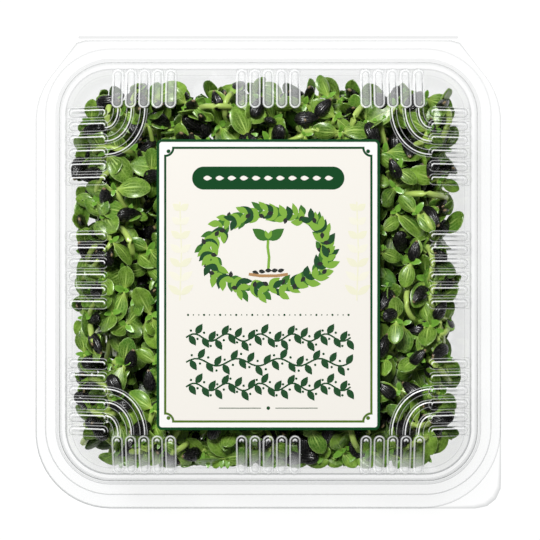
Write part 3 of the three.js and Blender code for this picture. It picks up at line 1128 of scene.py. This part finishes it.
# %% Plant finishes
def shoot_finish():
    f = Finish("fresh_shoot")
    leafness, along, across = f.attribute("leafness"), f.attribute("along"), f.attribute("across")
    shade, youth = f.attribute("shade"), f.attribute("youth")
    patch = f.noise(240.0, 3.0)
    grain = f.noise(1500.0, 2.0)
    midrib = abs(across).step(0.13, 0.015) * along.step(0.97, 0.3)
    bow = (along * 3.0).sin()
    lateral = abs(abs(across) - bow * 0.36).step(0.07, 0.01) * along.step(0.85, 0.3)
    outer = abs(abs(across) - bow * 0.68).step(0.06, 0.01) * along.step(0.8, 0.3)
    net = f.node("TexVoronoi", {"feature": "DISTANCE_TO_EDGE"}, Scale=620.0,
                 Vector=f.node("TexCoord").outputs["Object"])
    net = Value(f, net.outputs["Distance"]).step(0.13, 0.0)
    ridges = (midrib * 0.85).most(lateral * 0.52).most(outer * 0.36)
    veins = ridges.most(net * 0.2)
    # The shade value is partly a random tone and partly painted shade: low values paint the blade
    # and stem near black.
    tone = ((patch - 0.5) * 1.1 + shade * 0.85).most(0.0).least(1.0)
    lit = shade.step(0.1, 0.6)
    blade_colour = f.tinted(
        f.mix(tone ** 1.5, (0.011, 0.05, 0.001), (0.215, 0.39, 0.04)),
        (f.noise(75.0, 1.0).step(0.5, 0.68) * 0.6, (0.045, 0.16, 0.012)),
        (shade.step(0.36, 0.0) * 0.95, (0.003, 0.012, 0.001)),
        (veins * shade.step(0.1, 0.5), (0.5, 0.68, 0.17)),
        (abs(across).step(0.9, 1.0) * lit * 0.4, (0.42, 0.56, 0.2)),
        (along.step(0.34, 0.05) * lit * 0.55, (0.36, 0.52, 0.05)))
    stem_colour = f.tinted(
        f.mix(along.step(0.0, 0.9), (0.55, 0.66, 0.2), (0.43, 0.58, 0.11)),
        (patch * 0.7, (0.24, 0.4, 0.045)),
        (grain * 0.25, (0.6, 0.7, 0.3)),
        (shade.step(0.4, 0.0) * 0.93, (0.016, 0.03, 0.006)))
    colour = f.mix(youth * 0.7, f.mix(leafness, stem_colour, blade_colour), (0.17, 0.4, 0.04))
    crinkle = f.noise(520.0, 2.0)
    relief = f.bump(0.4, 0.0005, patch * 0.8 + crinkle * 0.7 + grain * 0.2 - ridges)
    return f.surface(f.node(
        "BsdfPrincipled", Base_Color=colour, Roughness=0.32 + grain * 0.14, Normal=relief,
        Specular_IOR_Level=0.4, Specular_Tint=(0.85, 1.0, 0.65),
        Coat_Weight=0.45, Coat_Roughness=0.24))


def hull_finish():
    f = Finish("seed_hull")
    along, across = f.attribute("along"), f.attribute("across")
    streak = (across * 125.0 + along * 2.0).sin() * 0.5 + 0.5
    grain = f.noise(900.0, 3.0)
    colour = f.tinted(
        (0.003, 0.003, 0.003),
        ((streak ** 6.0) * grain.step(0.4, 0.8), (0.09, 0.086, 0.075)),
        (along.step(0.9, 0.98) * 0.85, (0.36, 0.26, 0.14)))
    return f.surface(f.node(
        "BsdfPrincipled", Base_Color=colour, Roughness=0.24 + grain * 0.08,
        Normal=f.bump(0.4, 0.0003, streak + grain * 0.25), Specular_IOR_Level=0.42))


SHOOT_FINISH = shoot_finish()
HULL_FINISH = hull_finish()
print("plant finishes ready")

# %% [markdown]
# The CAD model places forty-nine shoots by a repeatable scatter. The same rule,
# repeated here, grows a fine shoot exactly where each CAD one stands.

# %% The placed shoots
def chance(index, use):
    value = math.sin(index * 12.9898 + use * 78.233) * 43758.5453
    return value - math.floor(value)


def swing(index, use):
    return 2 * chance(index, use) - 1


def shoot_plan(index):
    column, row = index % 7 - 3, index // 7 - 3
    capped = index % 7 == 3
    level = 38.5 if max(abs(column), abs(row)) > 2.5 else 41.0
    head = np.array([column * 24 + swing(index, 1) * 1.6, row * 24 + swing(index, 2) * 1.6,
                     31.0 if capped else level + swing(index, 3) * 2.4])
    foot = np.array([head[0] + swing(index, 4) * 4, max(head[1] - 24, -80 + row + 3), 1.8])
    turn = chance(index, 5) * math.pi
    rises = (1.32, 1.32) if capped else (0.3 + 0.5 * chance(index, 6), 0.3 + 0.5 * chance(index, 7))
    return foot, head, turn, rises, capped


for index in range(49):
    foot, head, turn, rises, capped = shoot_plan(index)
    dice = np.random.default_rng(100 + index)
    vertices, faces, values = grow_shoot(foot, head, turn, rises, dice, fine=True)
    number = f"{index + 1:02d}"
    shade = np.full(len(vertices), 0.25 + 0.75 * chance(index, 8))
    piece = mesh_piece(f"fine_shoot_{number}", vertices, faces, SHOOT_FINISH, shade=shade, **values)
    carry(piece, "tray", "shoot_green", f"shoot_{number}")
    if capped:
        vertices, faces, values = hull_shape(18, 12)
        vertices = turned(vertices - (0, HULL_LENGTH, 0), turn, -QUARTER)
        low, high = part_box(f"seed_hull_{number}")
        vertices += np.array([head[0], head[1], low.z / MM])
        hull = mesh_piece(f"fine_hull_{number}", vertices, faces, HULL_FINISH, **values)
        carry(hull, "tray", "hull_black", f"seed_hull_{number}")
print("placed shoots done")

# %% [markdown]
# Hundreds of shoots fill the tray. Each could be grown on its own, but sixteen kinds
# in many turns and sizes look as varied and are quick to make. A few stay closed
# and carry a hull, so their kind also says where the hull stands.

# %% Kinds of shoot
PROTOTYPES = 16
HULL_LIFT = 3.4
SCATTER_SEED = 7


def prototype(index):
    """A shoot at the origin: mesh, head, how its hull is turned, and the room it needs."""
    dice = np.random.default_rng(SCATTER_SEED + index)
    lean, height = dice.uniform(4, 22), dice.uniform(24, 38)
    head = np.array([dice.uniform(-6, 6), lean, height])
    closed = index % 4 == 3
    turn = dice.uniform(0, math.pi)
    rises = (1.25, 1.35) if closed else dice.uniform(-0.3, 0.95, 2)
    grown = grow_shoot(np.zeros(3), head, turn, rises, dice, fine=False)
    room = grown[0][::2]
    if closed:
        hull = turned(hull_shape(6, 6)[0], turn, QUARTER) + head + (0, 0, HULL_LIFT)
        room = np.concatenate([room, hull])
    return grown, head, (turn if closed else None), room


prototypes = [prototype(index) for index in range(PROTOTYPES)]
print("kinds", len(prototypes), "of", len(prototypes[0][0][1]), "faces")

# %% [markdown]
# Geometry Nodes copy the kinds: the tree puts one on each point of a cloud, with the
# turn and size that the point holds, makes the copies real and gives them their
# finish. It is far quicker than joining the copies in Python.

# %% Copies on points
def scatter_tree(name, finish):
    """Geometry Nodes: one copy of a collection's piece on every point."""
    tree = bpy.data.node_groups.new(name, "GeometryNodeTree")
    for key, way, kind in (("Points", "INPUT", "Geometry"), ("Kinds", "INPUT", "Collection"),
                           ("Size", "INPUT", "Float"), ("Geometry", "OUTPUT", "Geometry")):
        tree.interface.new_socket(key, in_out=way, socket_type="NodeSocket" + kind)
    new = tree.nodes.new

    def stored(attribute, kind):
        node = new("GeometryNodeInputNamedAttribute")
        node.data_type = kind
        node.inputs["Name"].default_value = attribute
        return node.outputs["Attribute"]

    start, end = new("NodeGroupInput"), new("NodeGroupOutput")
    kinds, place = new("GeometryNodeCollectionInfo"), new("GeometryNodeInstanceOnPoints")
    turn, size = new("FunctionNodeEulerToRotation"), new("ShaderNodeMath")
    real, coat = new("GeometryNodeRealizeInstances"), new("GeometryNodeSetMaterial")
    size.operation = "MULTIPLY"
    coat.inputs["Material"].default_value = finish
    for node, key in ((kinds, "Separate Children"), (kinds, "Reset Children"),
                      (place, "Pick Instance")):
        node.inputs[key].default_value = True
    for source, target in (
        (start.outputs["Kinds"], kinds.inputs["Collection"]),
        (start.outputs["Points"], place.inputs["Points"]),
        (start.outputs["Size"], size.inputs[1]),
        (stored("size", "FLOAT"), size.inputs[0]),
        (stored("turn", "FLOAT_VECTOR"), turn.inputs[0]),
        (stored("kind", "INT"), place.inputs["Instance Index"]),
        (kinds.outputs[0], place.inputs["Instance"]),
        (turn.outputs[0], place.inputs["Rotation"]),
        (size.outputs[0], place.inputs["Scale"]),
        (place.outputs[0], real.inputs[0]),
        (real.outputs[0], coat.inputs["Geometry"]),
        (coat.outputs[0], end.inputs[0]),
    ):
        tree.links.new(source, target)
    return tree


def scattered(name, tree, collection, places):
    """Runs the tree on (point, turn, size, kind, shade) rows and keeps a plain mesh."""
    points, turns, sizes, kinds, shades = [np.array(column) for column in zip(*places)]
    cloud = mesh_piece(name + "_points", points, [], size=sizes, shade=shades)
    remember(cloud.data, "turn", "FLOAT_VECTOR", turns)
    remember(cloud.data, "kind", "INT", kinds)
    modifier = cloud.modifiers.new("scatter", "NODES")
    modifier.node_group = tree
    sockets = {item.name: item.identifier for item in tree.interface.items_tree}
    modifier[sockets["Kinds"]] = collection
    modifier[sockets["Size"]] = 1.0
    graph = bpy.context.evaluated_depsgraph_get()
    made = bpy.data.meshes.new_from_object(cloud.evaluated_get(graph))
    bpy.data.objects.remove(cloud)
    for key in ("turn", "size", "kind"):
        if key in made.attributes:
            made.attributes.remove(made.attributes[key])
    made.polygons.foreach_set("use_smooth", np.full(len(made.polygons), True))
    return add_to_scene(name, made)


def kinds_collection(name, shapes):
    """A collection of hidden pieces that the tree copies from."""
    collection = bpy.data.collections.new(name)
    for index, (vertices, faces, values) in enumerate(shapes):
        piece = mesh_piece(f"{name}_{index:02d}", vertices, faces, **values)
        bpy.context.scene.collection.objects.unlink(piece)
        collection.objects.link(piece)
    return collection


shoot_kinds = kinds_collection("shoot_kinds", [kind[0] for kind in prototypes])
shoot_tree = scatter_tree("scatter_shoots", SHOOT_FINISH)
print("tree nodes", len(shoot_tree.nodes))

# %% [markdown]
# No stem or leaf may poke through the sheet. A physics simulation could settle them,
# slowly; here each shoot is moved, a little at a time, away from whichever wall or
# roof its worst vertex has crossed.

# %% Room inside the pack
FLOOR_RING = 86.9
RIM_RING = 98.2
LOWEST = 3.0
ROOF_GAP = 1.0
NEAR_ENOUGH = 0.05
PUSHES = 10
FILL = {"left": -95.5, "right": 90.0, "front": -97.5, "back": 88.5, "front_corner": 24.0,
        "back_corner": 36.0}


def wall_ring(z):
    """The ring of the pack's inner wall at a height, below the flange."""
    return FLOOR_RING + (RIM_RING - FLOOR_RING) * np.clip(z / FLANGE_Z, 0, 1) - SHEET


def roof_height(ring):
    """The underside of the lid over a ring, leaving out the ribs."""
    return np.minimum(LEDGE_Z + (FOOT_HALF - ring) * LID_SLOPE, LID_TOP) - SHEET - ROOF_GAP


def push_inside(points):
    """How far a cloud of points has to move to lie inside the pack, or None."""
    move = np.zeros(3)
    for _ in range(PUSHES):
        x, y, z = (points + move).T
        ring = ring_of(x, y)
        over = ring - np.where(z < FLANGE_Z, wall_ring(z), FOOT_HALF - 0.6)
        roof = z - roof_height(ring)
        worst, highest, sunk = np.argmax(over), np.argmax(roof), LOWEST - z.min()
        if max(over[worst], roof[highest], sunk) < NEAR_ENOUGH:
            return move
        if over[worst] > 0:
            out = np.array([x[worst], y[worst]])
            move[:2] -= out / np.linalg.norm(out) * (over[worst] + 0.1)
        if roof[highest] > 0:
            out = np.array([x[highest], y[highest]])
            move[:2] -= out / max(np.linalg.norm(out), 1) * roof[highest] * 0.5
            move[2] -= roof[highest] * 0.6 + NEAR_ENOUGH
        if sunk > 0:
            move[2] += sunk + NEAR_ENOUGH
    return None


def in_fill(x, y):
    """True inside the rounded patch that the greens cover, seen from above."""
    centre_x, centre_y = (FILL["left"] + FILL["right"]) / 2, (FILL["front"] + FILL["back"]) / 2
    corner = FILL["back_corner" if y > centre_y else "front_corner"]
    a = abs(x - centre_x) - (FILL["right"] - centre_x) + corner
    b = abs(y - centre_y) - (FILL["back"] - centre_y) + corner
    return math.hypot(max(a, 0), max(b, 0)) < corner and max(a, b) < corner


print("room to fill", FILL["right"] - FILL["left"], "by", FILL["back"] - FILL["front"], "mm")

# %% [markdown]
# Points are placed layer by layer from the top down, and last along the walls. For
# each point a few shoots are tried, and the one that has to move least is kept; in
# the front row it also has to reach the wall. A random cloud would be quicker, but
# leaves holes and crowds. Lower shoots are painted darker, as painted shade where
# little light reaches them.

# %% Filling the tray
WALLS = [
    # out along x or y, lowest and highest head, ring reached, pitch along the wall
    (1, 0, 27, 40, 87.5, 8.7),
    (-1, 0, 27, 42, 94.5, 8.7),
    (0, -1, 36, 43, 95.0, 5.0),
    (0, 1, 14, 32, 86.0, 8.7),
]


def beside_walls(dice):
    """Heads pressed close to the front and side walls, and lower ones at the back."""
    for x, y, low, high, reach, pitch in WALLS:
        for step in np.arange(-78, 79, pitch):
            ring = dice.uniform(reach - 4, reach)
            along = step + dice.uniform(-3, 3)
            z = dice.uniform(low, high)
            yield np.array([x * ring + abs(y) * along, y * ring + abs(x) * along, z])


def layer(dice, pitch, low, high):
    """Heads on a loose grid between two heights, lower beside the walls."""
    count = int(2 * FOOT_HALF / pitch)
    middle = (count - 1) / 2
    for i in range(count):
        for j in range(count):
            stagger = 0.5 * (j % 2) - 0.25
            x = (i - middle + stagger) * pitch + dice.uniform(-0.4, 0.4) * pitch
            y = (j - middle) * pitch + dice.uniform(-0.4, 0.4) * pitch
            z = dice.uniform(low, high)
            if in_fill(x, y):
                yield np.array([x, y, min(z, float(roof_height(ring_of(x, y))) - 2.0)])


LAYERS = [
    # pitch, low, high, darkest and lightest painted shade, lying down
    (18.0, 47, 57, 0.45, 1.0, False),
    (16.0, 38, 47, 0.3, 0.9, False),
    (16.5, 27, 38, 0.15, 0.5, False),
    (18.5, 15, 26, 0.0, 0.2, False),
    (18.5, 4, 12, 0.0, 0.06, True),
]
TRIES = 5
FRONT_TRIES = 25
FREE_SCORE = 22
FRONT_SCORE = 60
FRONT_REACH = 96
FRONT_ROW = {"y": -86, "z": 34}
NEAR_WALL = 74
SHADED_Z = 27


def try_shoot(dice, target, lying, pressed):
    """A score, the lower the better, and a shoot near the target, moved inside the pack."""
    kind = int(dice.integers(PROTOTYPES))
    size = dice.uniform(0.85, 1.15)
    tilt = dice.uniform(-1.5, -1.1) if lying else dice.uniform(-0.6, 0.3)
    if pressed:
        tilt = dice.uniform(-0.9, 0.2)
    elif target[1] < -70 and not lying:
        tilt = 0.35
    turn = Euler((tilt, dice.uniform(-0.25, 0.25), dice.normal(math.pi if pressed else 0, 0.5)))
    matrix = np.array(turn.to_matrix()) * size
    _, head, _, room = prototypes[kind]
    start = target - matrix @ head
    move = push_inside(room @ matrix.T + start)
    if move is None:
        return math.inf, None
    score = np.linalg.norm(move)
    if pressed:
        x, y, _ = (room @ matrix.T + start + move).T
        score += 4 * (FRONT_REACH - np.quantile(ring_of(x, y), 0.85))
    return score, (start + move, tuple(turn), size, kind)


def fill_layers(dice):
    """Rows for the scatter. Shoots pressed to the front wall get more tries."""
    stands = [(layer(dice, *row[:3]), *row[3:]) for row in LAYERS]
    for targets, dark, light, lying in stands + [(beside_walls(dice), 0.25, 0.85, False)]:
        for target in targets:
            pressed = target[1] < FRONT_ROW["y"] and target[2] > FRONT_ROW["z"]
            tries = FRONT_TRIES if pressed else TRIES
            score, stand = min((try_shoot(dice, target, lying, pressed) for _ in range(tries)),
                               key=lambda tried: tried[0])
            shade = dice.uniform(0.55, 1.0) if pressed else dice.uniform(dark, light)
            # Beside the walls the painted shade is lighter, and lighter still higher up.
            if ring_of(*target[:2]) > NEAR_WALL:
                least = (0.12, 0.32) if target[2] < SHADED_Z else (0.3, 0.8)
                shade = max(shade, dice.uniform(*least))
            if score < (FRONT_SCORE if pressed else FREE_SCORE):
                yield (*stand, shade)


dice = np.random.default_rng(SCATTER_SEED)
filled = list(fill_layers(dice))
ROWS = 10    # one mesh for each row from front to back, so that none is too large
filled.sort(key=lambda place: place[0][1])
for number, part in enumerate(np.array_split(np.arange(len(filled)), ROWS)):
    piece = scattered(f"shoots_row_{number + 1:02d}", shoot_tree, shoot_kinds,
                      [filled[i] for i in part])
    carry(piece, "tray", "shoot_green")
print("filled with", len(filled), "shoots")

# %% [markdown]
# Some shoots haven't straightened: a thick pale stem arches over the others and
# ends in a hull that still holds the folded leaves. The stem follows a curve of
# four control points, worked out here so that the hull can sit along its end.

# %% Arched shoots
ARCHES = 30
ARCH_SPACING = 17
ARCH_TOP = 56.5
ARCH_MOVE = 14
ARCH_HIDDEN = {"x": 66, "front": -84, "back": 70}


def under_label(x, y, zone):
    """True where the label would hide a piece."""
    return abs(x) < zone["x"] and zone["front"] < y < zone["back"]


def arched(dice):
    """An arched shoot at the origin, and the place and tilt of its hull."""
    growth = Growth()
    reach, height = dice.uniform(13, 21), dice.uniform(24, 32)
    anchors = np.array([[0, 0, 0], [0, -3, height * 1.2], [0, reach * 0.7, height * 1.5],
                        [0, reach, height * dice.uniform(0.85, 1.05)]])
    t = np.linspace(0, 1, 13)[:, None]
    path = (anchors[0] * (1 - t) ** 3 + anchors[1] * 3 * t * (1 - t) ** 2
            + anchors[2] * 3 * t**2 * (1 - t) + anchors[3] * t**3)
    path += np.array([1.0, 0, 0]) * np.sin(t * 5) * dice.uniform(-1.5, 1.5)
    points, faces = tube(path, 1.7 - 0.25 * t[:, 0], 8)
    growth.add(points, faces, 0.0, np.repeat(0.25 + 0.6 * t[:, 0], 8), 0.0)
    run = path[-1] - path[-2]
    pitch = math.atan2(run[2], run[1])
    for spread in (-0.16, 0.16):
        shape = blade(10.5, 6.4, 1.6, 7, 4, curl=0.0, cup=0.0)
        growth.leaf(shape, (0.0, pitch + spread), path[-1],
                    lambda along: np.clip(along / 0.2, 0, 1) * 0.9, 0.4)
    grown = growth.joined()
    tip = path[-1] + run / np.linalg.norm(run) * 2.6
    hull = turned(hull_shape(6, 6)[0], 0.0, pitch) + tip
    return grown, np.concatenate([grown[0][::2], hull]), tip, pitch


def arch_places(dice, kinds):
    """Arches round the label: rows for the scatter, and rows for their hulls."""
    shoots, hulls = [], []
    while len(shoots) < ARCHES:
        x, y = dice.uniform(-90, 90), dice.uniform(-88, 84)
        crowded = any(math.dist((x, y), row[0][:2]) < ARCH_SPACING for row in shoots)
        if crowded or not in_fill(x, y) or under_label(x, y, ARCH_HIDDEN):
            continue
        kind, size = int(dice.integers(len(kinds))), dice.uniform(0.85, 1.05)
        turn = (dice.uniform(-0.2, 0.2), dice.uniform(-0.4, 0.4), dice.uniform(0, 2 * math.pi))
        _, room, tip, pitch = kinds[kind]
        matrix = np.array(Euler(turn).to_matrix()) * size
        z = ARCH_TOP - (room @ matrix.T)[:, 2].max()
        start = np.array([x, y, z]) - matrix @ (0, tip[1] / 2, 0)
        move = push_inside(room @ matrix.T + start)
        if move is None or np.linalg.norm(move) > ARCH_MOVE:
            continue
        shoots.append((start + move, turn, size, kind, dice.uniform(0.6, 1.0)))
        tilt = (Euler(turn).to_matrix() @ Euler((pitch, 0, 0)).to_matrix()).to_euler()
        hulls.append((start + move + matrix @ tip, tuple(tilt), size, 0, 0.5))
    return shoots, hulls


arch_shapes = [arched(dice) for _ in range(5)]
arch_kinds = kinds_collection("arch_kinds", [shape[0] for shape in arch_shapes])
arch_rows, arch_hulls = arch_places(dice, arch_shapes)
carry(scattered("arched_shoots", shoot_tree, arch_kinds, arch_rows), "tray", "shoot_green")
print("arched shoots", len(arch_rows))

# %% [markdown]
# Low down, the tangle is closed by plain leaves of a few dozen faces each, painted
# near black as shade, and lighter near the walls, so that no table shows between the
# stems. More whole shoots would do it too, at many times the faces.

# %% Low leaves
LOW_CURLS = (-0.3, 0.2, 0.5)
LOW_PITCH = 8.6


def low_leaf(curl):
    growth = Growth()
    shape = blade(17.0, 10.5, 1.0, 5, 4, curl=curl, cup=0.1)
    growth.leaf(shape, (0.0, 0.0), (0, -8.5, 0), np.ones_like)
    return growth.joined()


low_shapes = [low_leaf(curl) for curl in LOW_CURLS]
low_kinds = kinds_collection("low_kinds", low_shapes)
low_rows = []
for x in np.arange(-84, 85, LOW_PITCH):
    for y in np.arange(-84, 83, LOW_PITCH):
        place = np.array([x, y, 0]) + dice.uniform((-3.5, -3.5, 4.5), (3.5, 3.5, 17))
        if ring_of(*place[:2]) > 80 + place[2] * 0.25:
            continue
        turn = (dice.uniform(-0.35, 0.35), dice.uniform(-0.35, 0.35), dice.uniform(0, 2 * math.pi))
        size, kind = dice.uniform(0.9, 1.25), int(dice.integers(3))
        move = push_inside(low_shapes[kind][0] @ np.array(Euler(turn).to_matrix()).T * size + place)
        if move is not None:
            # Painted shade: near black inside, lighter near the walls.
            shades = (0.12, 0.32) if ring_of(*place[:2]) > 70 else (0, 0.08)
            low_rows.append((place + move, turn, size, kind, dice.uniform(*shades)))
carry(scattered("low_leaves", shoot_tree, low_kinds, low_rows), "tray", "shoot_green")
print("low leaves", len(low_rows))

# %% [markdown]
# Seed hulls stay on the tips of the shoots that haven't opened, and others have
# dropped onto the leaves. A physics simulation could drop them, but not in the same
# place each time it is run on another machine. So each is laid by casting a ray down
# onto the greens and turning the hull to lie along the leaf that the ray meets.

# %% Hulls
def capping_hull(place):
    """A hull on the closed tips of a placed shoot, as a row for the scatter."""
    start, turn, size, kind, _ = place
    _, head, leaf_turn, _ = prototypes[kind]
    matrix = Euler(turn).to_matrix()
    local = Euler((QUARTER, 0, leaf_turn)).to_matrix()
    foot = start + np.array(matrix) @ (head + np.array([0, 0, HULL_LIFT])) * size
    return (foot, tuple((matrix @ local).to_euler()), size, 0, 0.5)


LONE_HULL = (-78.5, 84.0)
HULL_SPACING = 10
HULL_MOVE = 5
RAY_START = 59
LEAST_UPWARD = 0.45
HULL_HIDDEN = {"x": 52, "front": -74, "back": 62}


def dropped_hulls(dice, greens, count):
    """Hulls that lie on the greens, found by rays from under the lid."""
    rows = []
    for attempt in range(count * 12):
        x, y = dice.uniform(-94, 94), dice.uniform(-92, 88)
        if attempt == 0:
            x, y = LONE_HULL
        elif not in_fill(x, y) or under_label(x, y, HULL_HIDDEN):
            continue
        hit, normal, _, _ = greens.ray_cast(Vector((x, y, RAY_START)) * MM, Vector((0, 0, -1)))
        crowded = any(math.dist((x, y), row[0][:2]) < HULL_SPACING for row in rows)
        if hit is None or normal.z < LEAST_UPWARD or crowded:
            continue
        spin = Euler((0, 0, dice.uniform(0, 2 * math.pi))).to_quaternion()
        turn = normal.to_track_quat("Z", "Y") @ spin
        lift = np.array(normal) * HULL_DEPTH * 0.42
        middle = np.array(turn @ Vector((0, HULL_LENGTH / 2, 0)))
        place = np.array(hit) / MM + lift - middle
        tips = np.array([place, place + 2 * middle, place + middle + (0, 0, 2.6)])
        move = push_inside(tips)
        if move is None or np.linalg.norm(move) > HULL_MOVE:
            continue
        rows.append((place + move, tuple(turn.to_euler()), dice.uniform(0.9, 1.15), 0, 0.5))
        if len(rows) == count:
            break
    return rows


hull_kinds = kinds_collection("hull_kinds", [hull_shape(14, 9)])
hull_tree = scatter_tree("scatter_hulls", HULL_FINISH)
greens = bmesh.new()
for thing in bpy.context.scene.objects:
    if thing.name.startswith(("fine_", "shoots_row")):
        greens.from_mesh(thing.data)
surface = BVHTree.FromBMesh(greens)
greens.free()
capping = [capping_hull(place) for place in filled if prototypes[place[3]][2] is not None]
capping += arch_hulls
dropped = dropped_hulls(dice, surface, 90)
for name, rows in (("hulls_on_tips", capping), ("hulls_dropped", dropped)):
    carry(scattered(name, hull_tree, hull_kinds, rows), "tray", "hull_black")
print("hulls on tips", len(capping), "and dropped", len(dropped))

# %% [markdown]
# A white table and soft light. The table glows a little, as a light-box table does,
# so it stays white under the clear sheet. One soft square lamp stands high behind the
# pack, a little to its left. The room is dim above and pale at the horizon: the sheet
# mirrors the horizon where it is seen steeply, and a bright sky would wash out the greens.

# %% Table and light
LAMP_PLACE = Vector((-0.4, 0.9, 2.15))


def studio_room(above, horizon):
    """A room that is pale at the horizon and dimmer above."""
    world = bpy.data.worlds.new("room")
    world.use_nodes = True
    tree = world.node_tree
    coordinates, parts, fade = [tree.nodes.new("ShaderNode" + kind)
                                for kind in ("TexCoord", "SeparateXYZ", "MapRange")]
    fade.interpolation_type = "SMOOTHSTEP"
    limits = {"From Min": 0.06, "From Max": 0.2, "To Min": horizon, "To Max": above}
    for key, value in limits.items():
        fade.inputs[key].default_value = value
    tree.links.new(coordinates.outputs["Generated"], parts.inputs[0])
    tree.links.new(parts.outputs["Z"], fade.inputs["Value"])
    backdrop = tree.nodes["Background"]
    tree.links.new(fade.outputs["Result"], backdrop.inputs["Strength"])
    backdrop.inputs["Color"].default_value = (1.0, 1.0, 1.0, 1.0)
    return world


bpy.context.scene.world = studio_room(0.12, 0.95)
bpy.context.scene.view_settings.view_transform = "Standard"
glow = bpy.data.lights.new("key", "AREA")
glow.size = 0.62
glow.energy = 70.0
lamp = add_to_scene("key", glow)
lamp.location = LAMP_PLACE
lamp.rotation_euler = (-LAMP_PLACE).to_track_quat("-Z", "Y").to_euler()

table_finish = Finish("table")
table_shader = table_finish.node("BsdfPrincipled", Base_Color=(0.08, 0.08, 0.08), Roughness=0.7,
                                 Emission_Color=(1.0, 1.0, 1.0), Emission_Strength=0.915)
half = 2500.0
corners = [(-half, -half, -0.2), (half, -half, -0.2), (half, half, -0.2), (-half, half, -0.2)]
table = mesh_piece("table", corners, [[0, 1, 2, 3]], table_finish.surface(table_shader),
                   smooth=False)
print("lamp", round(LAMP_PLACE.length, 2), "m away")
